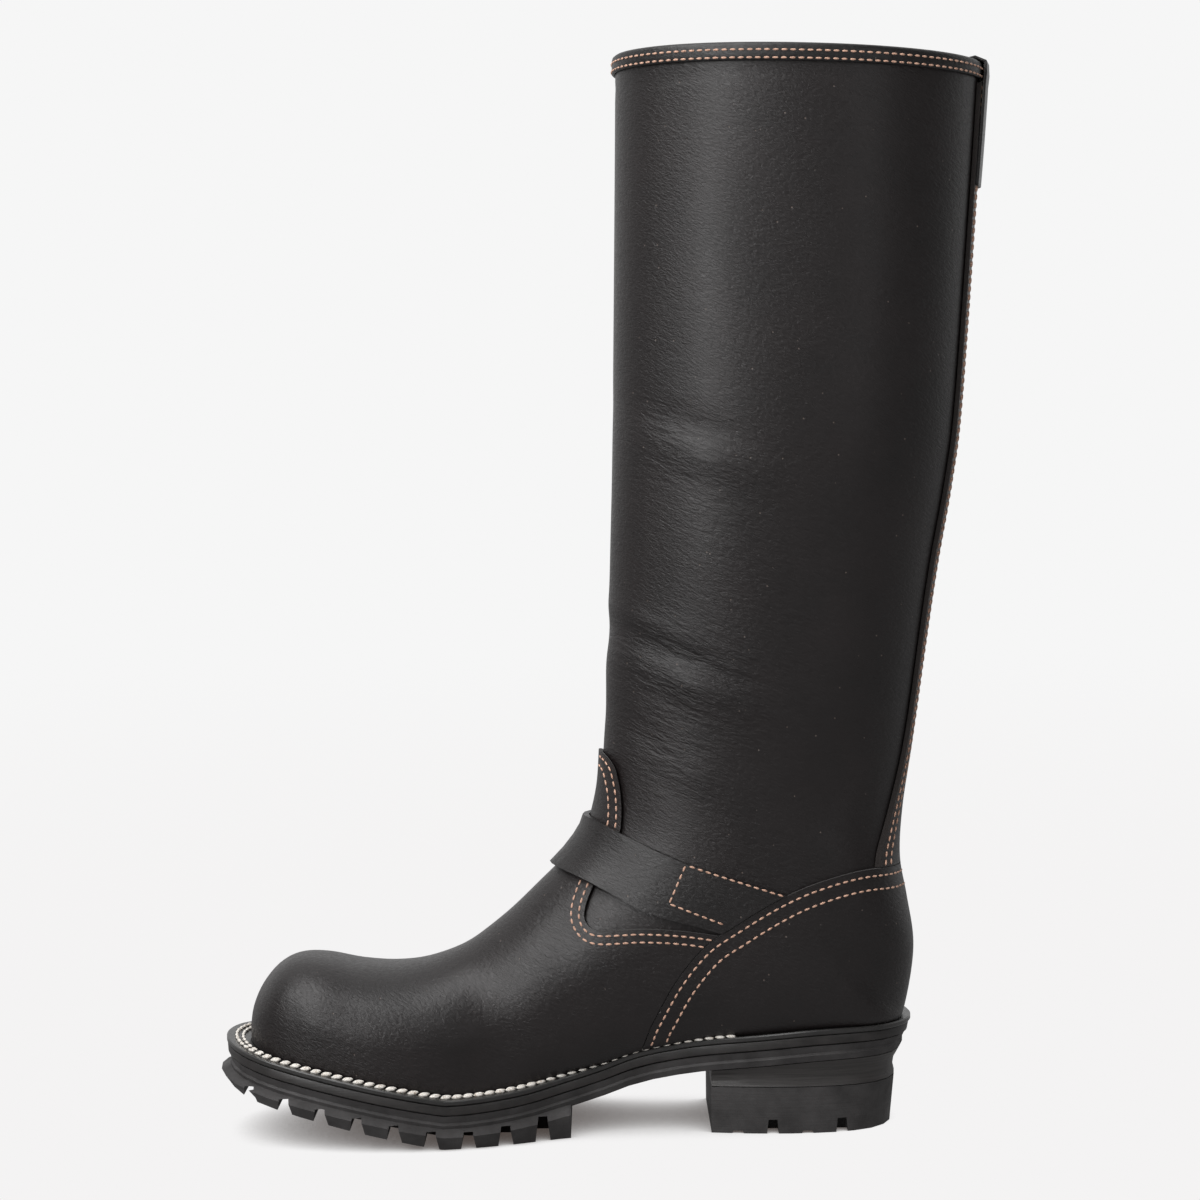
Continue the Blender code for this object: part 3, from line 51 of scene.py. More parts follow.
# The view: a camera over a metre away at the height of the ankle, tilted a little down, as shop
# photographs of boots are taken from the side.
CAMERA_PLACE = (-0.0888, -1.180, 0.2971)
CAMERA_PITCH = 3.10
CAMERA_ROLL = -0.6
FIELD_OF_VIEW = 25.5

camera_data = bpy.data.cameras.new("camera")
camera_data.sensor_width = 36
camera_data.angle = math.radians(FIELD_OF_VIEW)
camera = bpy.data.objects.new("camera", camera_data)
camera.location = CAMERA_PLACE
tilt = Matrix.Rotation(math.radians(90 - CAMERA_PITCH), 3, "X")
camera.rotation_euler = (tilt @ Matrix.Rotation(math.radians(CAMERA_ROLL), 3, "Z")).to_euler()
collection.objects.link(camera)
scene.camera = camera
scene.view_settings.view_transform = "Standard"


# The studio: a pale paper floor that runs into a background of the same tone, with tall soft boxes in
# front to the left and weaker ones to the right. The floor is a glowing plane, and the soft shadow under
# the boot's sole is painted shadow: occlusion darkens the floor's glow near the boot.
BACKGROUND = "f6f6f6"
FLOOR = "f4f3f3"
# Colour of the shadow painted into the floor's glow under the boot
PAINTED_FLOOR_SHADOW = "4a423e"
FLOOR_SIZE = 12.0
FLOOR_FADE = (0.3, 3.0)
FLOOR_BOUNCE = 0.3
SHADOW_REACH = 0.07
SHADOW_END = 0.5
ROOM_FRONT = 0.0
ROOM_BEHIND = 0.6


def srgb(hex_code):
    """The linear colour of an sRGB hex value."""
    parts = [int(hex_code[i : i + 2], 16) / 255 for i in (0, 2, 4)]
    linear = [c / 12.92 if c <= 0.04045 else ((c + 0.055) / 1.055) ** 2.4 for c in parts]
    return (*linear, 1.0)


def add_node(tree, kind, inputs, **settings):
    """Adds a node. Inputs are values, or outputs to link, by socket name or number."""
    node = tree.nodes.new(kind)
    for name, value in settings.items():
        setattr(node, name, value)
    for key, value in inputs.items():
        if isinstance(value, bpy.types.NodeSocket):
            tree.links.new(value, node.inputs[key])
        else:
            node.inputs[key].default_value = value
    return node


def soft_box(name, place, target, width, height, power):
    light = bpy.data.lights.new(name, "AREA")
    light.shape = "RECTANGLE"
    light.size = width
    light.size_y = height
    light.energy = power
    obj = bpy.data.objects.new(name, light)
    obj.location = place
    obj.rotation_euler = (Vector(target) - Vector(place)).to_track_quat("-Z", "Y").to_euler()
    collection.objects.link(obj)


BOOT_MIDDLE = (-0.05, 0.0, 0.22)
soft_box("left_front_box", (-1.0, -1.5, 0.7), BOOT_MIDDLE, 0.5, 1.3, 11.5)
soft_box("left_side_box", (-1.5, -0.5, 0.6), BOOT_MIDDLE, 0.4, 1.3, 0.8)
soft_box("front_box", (-0.5, -1.8, 0.8), BOOT_MIDDLE, 0.7, 1.2, 1.4)
soft_box("right_front_box", (0.9, -1.5, 0.8), BOOT_MIDDLE, 0.5, 1.2, 2.8)
soft_box("high_left_box", (-0.9, -0.7, 1.3), BOOT_MIDDLE, 0.8, 0.8, 8.0)
soft_box("high_front_box", (-0.2, -1.2, 1.4), BOOT_MIDDLE, 1.2, 0.6, 2.4)
soft_box("top_box", (-0.4, -0.2, 1.5), (-0.1, 0.0, 0.1), 1.0, 0.6, 7.0)

world = bpy.data.worlds.new("studio")
world.use_nodes = True
scene.world = world
tree = world.node_tree
tree.nodes.clear()
direction = add_node(tree, "ShaderNodeTexCoord", {})
axes = add_node(tree, "ShaderNodeSeparateXYZ", {0: direction.outputs["Generated"]})
depth = add_node(
    tree,
    "ShaderNodeMapRange",
    {0: axes.outputs[1], 1: -0.35, 2: 0.55, 3: ROOM_FRONT, 4: ROOM_BEHIND},
    interpolation_type="SMOOTHSTEP",
)
room = add_node(tree, "ShaderNodeBackground", {0: (1, 1, 1, 1), 1: depth.outputs[0]})
plain = add_node(tree, "ShaderNodeBackground", {0: srgb(BACKGROUND), 1: 1.0})
seen = add_node(tree, "ShaderNodeLightPath", {})
mixed = add_node(
    tree,
    "ShaderNodeMixShader",
    {0: seen.outputs["Is Camera Ray"], 1: room.outputs[0], 2: plain.outputs[0]},
)
add_node(tree, "ShaderNodeOutputWorld", {0: mixed.outputs[0]})

floor_mesh = bpy.data.meshes.new("floor")
reach = FLOOR_SIZE / 2
floor_mesh.from_pydata(
    [(-reach, -reach, 0), (reach, -reach, 0), (reach, reach, 0), (-reach, reach, 0)], [], [(0, 1, 2, 3)]
)
floor = bpy.data.objects.new("floor", floor_mesh)
collection.objects.link(floor)
paper = bpy.data.materials.new("glowing_backdrop_paper")
paper.use_nodes = True
tree = paper.node_tree
tree.nodes.clear()
place = add_node(tree, "ShaderNodeTexCoord", {})
away = add_node(tree, "ShaderNodeVectorMath", {0: place.outputs["Object"]}, operation="LENGTH")
fade = add_node(
    tree,
    "ShaderNodeMapRange",
    {0: away.outputs["Value"], 1: FLOOR_FADE[0], 2: FLOOR_FADE[1]},
    interpolation_type="SMOOTHSTEP",
)
tone = add_node(
    tree, "ShaderNodeMix", {0: fade.outputs[0], 6: srgb(FLOOR), 7: srgb(BACKGROUND)}, data_type="RGBA"
)
# Painted shadow: within SHADOW_REACH of the boot, ambient occlusion mixes the floor's colour towards the
# painted shadow colour, so the shadow under the sole is painted, not cast.
near = add_node(tree, "ShaderNodeAmbientOcclusion", {"Distance": SHADOW_REACH}, samples=16)
open_sky = add_node(tree, "ShaderNodeMapRange", {0: near.outputs["AO"], 1: 0.0, 2: SHADOW_END})
shaded = add_node(
    tree,
    "ShaderNodeMix",
    {0: open_sky.outputs[0], 6: srgb(PAINTED_FLOOR_SHADOW), 7: tone.outputs[2]},
    data_type="RGBA",
)
# The floor glows at full strength towards the camera and at FLOOR_BOUNCE for other rays, so its glow also
# lights the boot from below.
seen = add_node(tree, "ShaderNodeLightPath", {})
power = add_node(tree, "ShaderNodeMapRange", {0: seen.outputs["Is Camera Ray"], 3: FLOOR_BOUNCE, 4: 1.0})
mixed = add_node(tree, "ShaderNodeEmission", {0: shaded.outputs[2], 1: power.outputs[0]})
add_node(tree, "ShaderNodeOutputMaterial", {0: mixed.outputs[0]})
floor.data.materials.append(paper)


# Outsole: one moulded plate of black rubber with lugs under the forefoot. Its side is trimmed and
# dressed on a wheel with the layers above it, which leaves fine lines that run along the edge.
RUBBER = "4c4a4a"
RUBBER_DARK = "343232"
RUBBER_SPECK_MM = 0.7
TRIM_LINE_MM = 1.1


def new_material(name, shader_inputs):
    """A material with a Principled shader, its tree, and the place on the piece in metres."""
    mat = bpy.data.materials.new(name)
    mat.use_nodes = True
    tree = mat.node_tree
    shader = tree.nodes["Principled BSDF"]
    for key, value in shader_inputs.items():
        shader.inputs[key].default_value = value
    place = add_node(tree, "ShaderNodeTexCoord", {}).outputs["Object"]
    return mat, tree, shader, place


def noise(tree, place, feature_mm, stretch=(1, 1, 1), turn=0.0, detail=4.0, rough=0.6, twist=0.0):
    """Noise whose features are about a size in millimetres, so many times as long along each axis, with
    those axes turned down towards the heel by an angle."""
    laid = add_node(
        tree,
        "ShaderNodeMapping",
        {0: place, "Rotation": (0.0, math.radians(turn), 0.0), "Scale": stretch},
        vector_type="TEXTURE",
    )
    return add_node(
        tree,
        "ShaderNodeTexNoise",
        {
            "Vector": laid.outputs[0],
            "Scale": 1 / (feature_mm * MM),
            "Detail": detail,
            "Roughness": rough,
            "Distortion": twist,
        },
    ).outputs[0]


def bump(tree, height, depth_mm, below=None, strength=1.0):
    """Relief of a depth in millimetres, laid over a coarser one."""
    inputs = {"Height": height, "Distance": depth_mm * MM, "Strength": strength}
    if below is not None:
        inputs["Normal"] = below
    return add_node(tree, "ShaderNodeBump", inputs).outputs[0]


def colour_between(tree, share, low, high, start=0.3, end=0.7):
    spread = add_node(tree, "ShaderNodeMapRange", {0: share, 1: start, 2: end})
    return add_node(
        tree,
        "ShaderNodeMix",
        {0: spread.outputs[0], 6: srgb(low), 7: srgb(high)},
        data_type="RGBA",
    ).outputs[2]


def value_between(tree, share, low, high, start=0.3, end=0.7):
    return add_node(tree, "ShaderNodeMapRange", {0: share, 1: start, 2: end, 3: low, 4: high}).outputs[0]


def moulded_rubber(name):
    """Black rubber: matt, with a fine speckle and the faint level lines of trimming."""
    mat, tree, shader, place = new_material(name, {"Roughness": 0.6, "Specular IOR Level": 0.4})
    cloud = noise(tree, place, 14)
    speck = noise(tree, place, RUBBER_SPECK_MM, detail=2.0)
    lines = noise(tree, place, TRIM_LINE_MM, stretch=(33, 33, 1), detail=2.0)
    tree.links.new(colour_between(tree, cloud, RUBBER_DARK, RUBBER), shader.inputs["Base Color"])
    tree.links.new(value_between(tree, cloud, 0.66, 0.5), shader.inputs["Roughness"])
    relief = bump(tree, lines, 0.12, bump(tree, speck, 0.06))
    tree.links.new(relief, shader.inputs["Normal"])
    return mat


def soften_edges(node, angle):
    """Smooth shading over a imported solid's loose triangles, broken where faces meet at an angle."""
    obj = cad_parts[node]
    tree = bpy.data.node_groups.get("soft_edges")
    if tree is None:
        tree = bpy.data.node_groups.new("soft_edges", "GeometryNodeTree")
        tree.interface.new_socket("Solid", in_out="INPUT", socket_type="NodeSocketGeometry")
        tree.interface.new_socket("Angle", in_out="INPUT", socket_type="NodeSocketFloat")
        tree.interface.new_socket("Solid", in_out="OUTPUT", socket_type="NodeSocketGeometry")
        given = add_node(tree, "NodeGroupInput", {})
        merged = add_node(tree, "GeometryNodeMergeByDistance", {0: given.outputs[0], "Distance": 0.002 * MM})
        smooth = add_node(tree, "GeometryNodeSetShadeSmooth", {0: merged.outputs[0], "Shade Smooth": True})
        bend = add_node(tree, "GeometryNodeInputMeshEdgeAngle", {})
        gentle = add_node(
            tree,
            "FunctionNodeCompare",
            {0: bend.outputs[0], 1: given.outputs[1]},
            operation="LESS_THAN",
        )
        edges = add_node(
            tree,
            "GeometryNodeSetShadeSmooth",
            {0: smooth.outputs[0], "Shade Smooth": gentle.outputs[0]},
            domain="EDGE",
        )
        add_node(tree, "NodeGroupOutput", {0: edges.outputs[0]})
    modifier = obj.modifiers.new("soft_edges", "NODES")
    modifier.node_group = tree
    sockets = {item.name: item.identifier for item in tree.interface.items_tree if item.in_out == "INPUT"}
    modifier[sockets["Angle"]] = math.radians(angle)
    return obj


def dress_node(node, mat, angle=32, corner=0.0):
    """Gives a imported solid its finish, and where asked a worn corner of a size in millimetres."""
    obj = soften_edges(node, angle)
    if corner:
        worn = obj.modifiers.new("worn_corners", "BEVEL")
        worn.width = corner * MM
        worn.segments = 2
        worn.limit_method = "ANGLE"
        worn.angle_limit = math.radians(angle)
        worn.harden_normals = True
    obj.data.materials.clear()
    obj.data.materials.append(mat)


rubber = moulded_rubber("moulded_sole_rubber")
dress_node("outsole", rubber)


# Midsole: one layer of leather over the whole sole. Its edge is dyed black and burnished with wax, so
# it is smoother than the rubber under it.
GAP = 0.36
SOLE_LENGTH = 305.3
BALL_WIDTH = 112
HEEL_OVERHANG = 48.4
TOE_SPRING = 21.5
SPRING_START = 206
SPRING_POWER = 1.1
OUTSOLE_THICKNESS = 14.3
HEEL_LIFT = 25.7
PLATE_INSET = 1.2
MIDSOLE_THICKNESS = 4.1
WELT_THICKNESS = 2.4
WELT_LEDGE = 10
WELT_TUCK = 4
HEEL_LENGTH = 90.6
HEEL_DRAW = 2.8
EDGE_ROUND = 0.5
OUTLINE_STEPS = 400
EDGE_DYE = "322f2e"

# Plan of the welt's edge: shares of SOLE_LENGTH from the heel's back, of BALL_WIDTH to each side, and
# of WELT_LEDGE for the step from that edge in to the upper.
PLAN_COLUMNS = ("station", "inner", "outer", "ledge")
PLAN = (
    (0.000, 0.000, 0.000, 0.60),
    (0.012, 0.150, 0.150, 0.60),
    (0.045, 0.250, 0.250, 0.62),
    (0.095, 0.305, 0.305, 0.68),
    (0.160, 0.328, 0.332, 0.75),
    (0.240, 0.322, 0.336, 0.78),
    (0.330, 0.290, 0.330, 0.75),
    (0.420, 0.285, 0.345, 0.75),
    (0.500, 0.335, 0.385, 0.85),
    (0.580, 0.425, 0.437, 0.95),
    (0.660, 0.490, 0.476, 1.00),
    (0.720, 0.508, 0.484, 1.00),
    (0.780, 0.508, 0.472, 1.00),
    (0.840, 0.490, 0.436, 1.05),
    (0.890, 0.462, 0.388, 1.10),
    (0.935, 0.415, 0.325, 1.15),
    (0.970, 0.330, 0.208, 1.25),
    (0.990, 0.228, 0.092, 1.30),
    (1.000, 0.068, -0.068, 1.30),
)

# Side line of the sole: share of HEEL_LIFT at shares of SOLE_LENGTH from the heel's back
LIFT_COLUMNS = ("station", "lift")
LIFT = (
    (0.000, 1.000),
    (0.160, 0.955),
    (0.226, 0.884),
    (0.288, 0.813),
    (0.345, 0.719),
    (0.407, 0.562),
    (0.453, 0.382),
    (0.503, 0.232),
    (0.556, 0.101),
    (0.605, 0.034),
    (0.655, 0.000),
    (1.000, 0.000),
)


def column(table, columns, name):
    return np.array([row[columns.index(name)] for row in table], float)


def curve_through(keys, values, at):
    """A smooth curve through (keys, values), read at each point of `at`."""
    keys = np.asarray(keys, float)
    values = np.asarray(values, float)
    steps = np.diff(keys)
    slopes = np.diff(values) / steps
    tangents = np.empty(len(keys))
    tangents[0] = slopes[0]
    tangents[-1] = slopes[-1]
    tangents[1:-1] = (slopes[:-1] * steps[1:] + slopes[1:] * steps[:-1]) / (steps[:-1] + steps[1:])
    at = np.clip(np.asarray(at, float), keys[0], keys[-1])
    cell = np.clip(np.searchsorted(keys, at, side="right") - 1, 0, len(steps) - 1)
    step = steps[cell]
    u = (at - keys[cell]) / step
    start = (1 + 2 * u) * (1 - u) ** 2 * values[cell] + u * (1 - u) ** 2 * step * tangents[cell]
    end = u**2 * (3 - 2 * u) * values[cell + 1] + u**2 * (u - 1) * step * tangents[cell + 1]
    return start + end


def sole_line(x):
    """Height of the outsole's top at a place along the sole."""
    share = (HEEL_OVERHANG - np.asarray(x, float)) / SOLE_LENGTH
    lift = curve_through(column(LIFT, LIFT_COLUMNS, "station"), column(LIFT, LIFT_COLUMNS, "lift"), share)
    ahead = HEEL_OVERHANG - np.asarray(x, float) - SPRING_START
    spring = TOE_SPRING * np.maximum(ahead / (SOLE_LENGTH - SPRING_START), 0.0) ** SPRING_POWER
    return OUTSOLE_THICKNESS + HEEL_LIFT * np.clip(lift, 0.0, None) + spring


def midsole_top(x):
    return sole_line(x) + GAP + MIDSOLE_THICKNESS


def welt_top(x):
    return midsole_top(x) + GAP + WELT_THICKNESS


def feather_height(x):
    return welt_top(x) + GAP


def plan_outline(count):
    """The welt's edge as a closed loop, from the heel's back round the inner side to the toe and home,
    with the ledge at each point."""
    station = column(PLAN, PLAN_COLUMNS, "station")
    inner = -column(PLAN, PLAN_COLUMNS, "inner")
    outer = column(PLAN, PLAN_COLUMNS, "outer")
    ledge = column(PLAN, PLAN_COLUMNS, "ledge")
    x = HEEL_OVERHANG - np.concatenate([station, station[-2:0:-1]]) * SOLE_LENGTH
    y = np.concatenate([inner, outer[-2:0:-1]]) * BALL_WIDTH
    step_in = np.concatenate([ledge, ledge[-2:0:-1]]) * WELT_LEDGE
    points = np.stack([x, y, step_in], axis=1)
    wrapped = np.concatenate([points[-2:], points, points[:3]])
    lengths = np.linalg.norm(np.diff(wrapped[:, :2], axis=0), axis=1)
    run = np.concatenate([[0.0], np.cumsum(lengths)])
    toe = len(PLAN) + 1
    half = count // 2
    there = np.linspace(run[2], run[toe], half, endpoint=False)
    home = np.linspace(run[toe], run[2 + len(points)], half, endpoint=False)
    marks = np.concatenate([there, home])
    return np.stack([curve_through(run, wrapped[:, i], marks) for i in range(3)], axis=1)


def outline_normals(loop):
    ahead = np.roll(loop[:, :2], -1, axis=0) - np.roll(loop[:, :2], 1, axis=0)
    normals = np.stack([ahead[:, 1], -ahead[:, 0]], axis=1)
    return -normals / np.linalg.norm(normals, axis=1)[:, None]


PLAN_LOOP = plan_outline(OUTLINE_STEPS)
PLAN_NORMALS = outline_normals(PLAN_LOOP)
BREAST = HEEL_OVERHANG - HEEL_LENGTH


def layer_loop(inset, height, ledges=0.0, draw=0.0):
    """The welt's edge moved in by a length and by shares of the ledge, at a height. At the heel it is
    drawn forward by a length."""
    loop = PLAN_LOOP[:, :2] - PLAN_NORMALS * (inset + ledges * PLAN_LOOP[:, 2:3])
    level = height(loop[:, 0]) if callable(height) else np.full(len(loop), height)
    loop[:, 0] -= draw * np.clip(loop[:, 0] - BREAST, 0.0, None) / HEEL_LENGTH
    return np.column_stack([loop, level])


def add_piece(name, shape, mats):
    """An object from a shape in millimetres, with its finishes."""
    mesh = bpy.data.meshes.new(name)
    bmesh.ops.scale(shape, vec=(MM, MM, MM), verts=shape.verts)
    shape.to_mesh(mesh)
    shape.free()
    obj = bpy.data.objects.new(name, mesh)
    collection.objects.link(obj)
    for mat in mats:
        mesh.materials.append(mat)
    return obj


def ring_piece(name, levels, mats, corner=35):
    """A closed band whose section is a run of loops round the boot."""
    bm = bmesh.new()
    loops = [[bm.verts.new(point) for point in level] for level in levels]
    count = len(loops[0])
    for low, high in zip(loops, loops[1:] + loops[:1]):
        for i in range(count):
            j = (i + 1) % count
            bm.faces.new((low[j], low[i], high[i], high[j]))
    bmesh.ops.recalc_face_normals(bm, faces=bm.faces)
    obj = add_piece(name, bm, mats)
    obj.data.shade_smooth()
    obj.data.set_sharp_from_angle(angle=math.radians(corner))
    return obj


def burnished_edge(name):
    """Leather edge, dyed black and waxed: a low gloss with lines along the layer."""
    mat, tree, shader, place = new_material(name, {"Coat Weight": 0.25, "Coat Roughness": 0.3})
    cloud = noise(tree, place, 9)
    lines = noise(tree, place, 0.8, stretch=(25, 25, 1), detail=3.0)
    tree.links.new(colour_between(tree, cloud, "1f1d1c", EDGE_DYE), shader.inputs["Base Color"])
    tree.links.new(value_between(tree, lines, 0.38, 0.6), shader.inputs["Roughness"])
    tree.links.new(bump(tree, lines, 0.10), shader.inputs["Normal"])
    return mat


def just_above(low, rise):
    return lambda x: low(x) + rise


midsole_low = just_above(sole_line, GAP)

# The edge's section from its foot up: inset as a share of PLATE_INSET, the level it is measured from,
# the rise above that, and the heel's draw as a share of HEEL_DRAW
MIDSOLE_EDGE = (
    (1.0, midsole_low, 0.0, 0.45),
    (0.45, midsole_low, EDGE_ROUND, 0.35),
    (0.3, midsole_top, -EDGE_ROUND, 0.2),
    (0.5, midsole_top, 0.0, 0.15),
)
edge_wax = burnished_edge("burnished_midsole_edge")
midsole = ring_piece(
    "midsole_layer",
    [
        layer_loop(WELT_TUCK, midsole_low, 1.0),
        *(
            layer_loop(PLATE_INSET * inset, just_above(level, rise), draw=HEEL_DRAW * draw)
            for inset, level, rise, draw in MIDSOLE_EDGE
        ),
        layer_loop(WELT_TUCK, midsole_top, 1.0),
    ],
    [edge_wax],
)
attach(midsole, "root")
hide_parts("midsole")


# Welt: a strip of waxed black leather round the whole foot, sewn to the upper inside and down through
# the midsole with heavy white thread. Its top shows as a ledge, and its cut edge is rough.
WELT_BLACK = "2a2827"
WELT_ROW_SHARES = (0.34, 0.555)
WELT_PITCH = 4.8
WELT_STITCH = (4.5, 1.6, 1.5)
WELT_THREAD = "fbf6ee"
# Colour of the shade painted between the welt thread's plies
WELT_THREAD_PAINTED_SHADE = "b39f8a"
WELT_ROW_END = -30.8
WELT_ROW_RISE = 0.4
STITCH_LIFT = 0.12
WAIST_SHIFT = ((-112, -82), (1.0, 0.35))
INNER_ROW_END = -85


def waxed_leather(name):
    """Stiff strip leather under black wax: slightly rough, with a fine pricked grain."""
    mat, tree, shader, place = new_material(name, {"Coat Weight": 0.8, "Coat Roughness": 0.22})
    cloud = noise(tree, place, 6)
    grain = noise(tree, place, 0.8, detail=5.0)
    tree.links.new(colour_between(tree, cloud, "191817", WELT_BLACK), shader.inputs["Base Color"])
    tree.links.new(value_between(tree, cloud, 0.42, 0.62), shader.inputs["Roughness"])
    tree.links.new(bump(tree, grain, 0.15), shader.inputs["Normal"])
    return mat


def twisted_thread(name, light, painted_shade, ply_mm):
    """Waxed sewing thread: a matt fibre whose twist shows as slanted bands of painted shade between the
    plies.
    """
    mat, tree, shader, place = new_material(name, {"Roughness": 0.65, "Sheen Weight": 0.2})
    ply = noise(tree, place, ply_mm, stretch=(1, 1, 0.5), turn=40, detail=2.0)
    # Painted shade: the ply noise darkens the colour in slanted bands, where the grooves of the twist would
    # be in shade.
    tree.links.new(colour_between(tree, ply, painted_shade, light, 0.25, 0.5), shader.inputs["Base Color"])
    tree.links.new(bump(tree, ply, 0.15), shader.inputs["Normal"])
    return mat


def resampled(points, pitch):
    """Places one pitch apart along a run of points with normals, and the direction of travel there."""
    run = np.concatenate([[0.0], np.cumsum(np.linalg.norm(np.diff(points[:, :3], axis=0), axis=1))])
    marks = np.arange(pitch / 2, run[-1], pitch)
    laid = np.column_stack([np.interp(marks, run, points[:, i]) for i in range(6)])
    ahead = np.gradient(laid[:, :3], axis=0)
    return np.column_stack([laid, ahead])


def stitch_tree():
    """Geometry nodes that lay one rounded stitch on every point, along `ahead` and flat against `out`."""
    tree = bpy.data.node_groups.new("stitches", "GeometryNodeTree")
    sockets = (
        ("Places", "INPUT", "NodeSocketGeometry"),
        ("Length", "INPUT", "NodeSocketFloat"),
        ("Width", "INPUT", "NodeSocketFloat"),
        ("Height", "INPUT", "NodeSocketFloat"),
        ("Thread", "INPUT", "NodeSocketMaterial"),
        ("Stitches", "OUTPUT", "NodeSocketGeometry"),
    )
    for name, way, kind in sockets:
        tree.interface.new_socket(name, in_out=way, socket_type=kind)
    given = add_node(tree, "NodeGroupInput", {})
    bead = add_node(tree, "GeometryNodeMeshUVSphere", {"Segments": 8, "Rings": 6, "Radius": 0.5})
    out = add_node(tree, "GeometryNodeInputNamedAttribute", {"Name": "out"}, data_type="FLOAT_VECTOR")
    ahead = add_node(tree, "GeometryNodeInputNamedAttribute", {"Name": "ahead"}, data_type="FLOAT_VECTOR")
    upright = add_node(tree, "FunctionNodeAlignRotationToVector", {"Vector": out.outputs[0]}, axis="Z")
    facing = add_node(
        tree,
        "FunctionNodeAlignRotationToVector",
        {"Rotation": upright.outputs[0], "Vector": ahead.outputs[0]},
        axis="X",
        pivot_axis="Z",
    )
    size = add_node(
        tree,
        "ShaderNodeCombineXYZ",
        {0: given.outputs["Length"], 1: given.outputs["Width"], 2: given.outputs["Height"]},
    )
    laid = add_node(
        tree,
        "GeometryNodeInstanceOnPoints",
        {
            "Points": given.outputs["Places"],
            "Instance": bead.outputs[0],
            "Rotation": facing.outputs[0],
            "Scale": size.outputs[0],
        },
    )
    real = add_node(tree, "GeometryNodeRealizeInstances", {0: laid.outputs[0]})
    smooth = add_node(tree, "GeometryNodeSetShadeSmooth", {0: real.outputs[0], "Shade Smooth": True})
    dressed = add_node(
        tree, "GeometryNodeSetMaterial", {0: smooth.outputs[0], "Material": given.outputs["Thread"]}
    )
    add_node(tree, "NodeGroupOutput", {0: dressed.outputs[0]})
    return tree


STITCHES = stitch_tree()


def baked(obj):
    """The object with its modifiers applied, as a plain mesh in its own right."""
    graph = bpy.context.evaluated_depsgraph_get()
    mesh = bpy.data.meshes.new_from_object(obj.evaluated_get(graph))
    obj.modifiers.clear()
    obj.data = mesh
    return obj


def sew(name, rows, size, thread):
    """Lays stitches of a length, width and height along rows of places, half sunk in the leather."""
    places = np.concatenate(rows)
    mesh = bpy.data.meshes.new(name)
    lift = places[:, 3:6] * size[2] * STITCH_LIFT
    mesh.from_pydata(list((places[:, :3] + lift) * MM), [], [])
    for label, first in (("out", 3), ("ahead", 6)):
        layer = mesh.attributes.new(label, "FLOAT_VECTOR", "POINT")
        layer.data.foreach_set("vector", places[:, first : first + 3].astype(np.float32).ravel())
    obj = bpy.data.objects.new(name, mesh)
    collection.objects.link(obj)
    modifier = obj.modifiers.new("stitches", "NODES")
    modifier.node_group = STITCHES
    inputs = {item.name: item.identifier for item in STITCHES.interface.items_tree if item.in_out == "INPUT"}
    for label, value in zip(("Length", "Width", "Height"), size):
        modifier[inputs[label]] = value * MM
    modifier[inputs["Thread"]] = thread
    baked(obj)
    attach(obj, "root")
    return obj


welt_wax = waxed_leather("waxed_welt_strip")
welt = ring_piece(
    "welt_strip",
    [
        layer_loop(EDGE_ROUND, just_above(midsole_top, GAP)),
        layer_loop(0.0, just_above(midsole_top, GAP + EDGE_ROUND)),
        layer_loop(0.0, just_above(welt_top, -EDGE_ROUND)),
        layer_loop(EDGE_ROUND, welt_top),
        layer_loop(WELT_TUCK, welt_top, 1.0),
        layer_loop(WELT_TUCK, just_above(midsole_top, GAP), 1.0),
    ],
    [welt_wax],
)
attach(welt, "root")
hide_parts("welt")


def welt_row(share, end_x):
    """Places of one thread row round the forefoot, as far back as end_x on both sides. At the waist it
    runs close to the edge."""
    nearer = np.interp(PLAN_LOOP[:, :1], *WAIST_SHIFT)
    loop = layer_loop(0.0, just_above(welt_top, WELT_ROW_RISE), share * nearer)
    loop = loop[loop[:, 0] < end_x]
    up = np.zeros_like(loop)
    up[:, 2] = 1.0
    return resampled(np.column_stack([loop, up]), WELT_PITCH)


white_thread = twisted_thread("white_waxed_linen_thread", WELT_THREAD, WELT_THREAD_PAINTED_SHADE, 1.4)
sew(
    "welt_stitches",
    [welt_row(WELT_ROW_SHARES[0], WELT_ROW_END), welt_row(WELT_ROW_SHARES[1], INNER_ROW_END)],
    WELT_STITCH,
    white_thread,
)


# Heel: leather lifts under the seat, glued, nailed and trimmed together, then dyed black. Below them is
# one thick rubber lift. The insole is natural leather and shows only from above.
STACK_LINE_MM = 1.3
INSOLE_TAN = "a9825c"


def stacked_leather(name):
    """Trimmed and dyed leather lifts: low gloss, with lines along the layers."""
    mat, tree, shader, place = new_material(name, {"Coat Weight": 0.15, "Coat Roughness": 0.35})
    cloud = noise(tree, place, 12)
    lines = noise(tree, place, STACK_LINE_MM, stretch=(40, 40, 1), detail=3.0)
    tree.links.new(colour_between(tree, lines, "2c2a29", "464342"), shader.inputs["Base Color"])
    tree.links.new(value_between(tree, cloud, 0.4, 0.58), shader.inputs["Roughness"])
    tree.links.new(bump(tree, lines, 0.22), shader.inputs["Normal"])
    return mat


def natural_leather(name):
    mat, tree, shader, place = new_material(name, {"Roughness": 0.7})
    cloud = noise(tree, place, 16)
    tree.links.new(colour_between(tree, cloud, "8d6a48", INSOLE_TAN), shader.inputs["Base Color"])
    tree.links.new(bump(tree, noise(tree, place, 0.9), 0.08), shader.inputs["Normal"])
    return mat


dress_node("heel_base", stacked_leather("dyed_heel_lifts"))
dress_node("heel_toplift", rubber)
dress_node("insole", natural_leather("natural_insole_leather"))


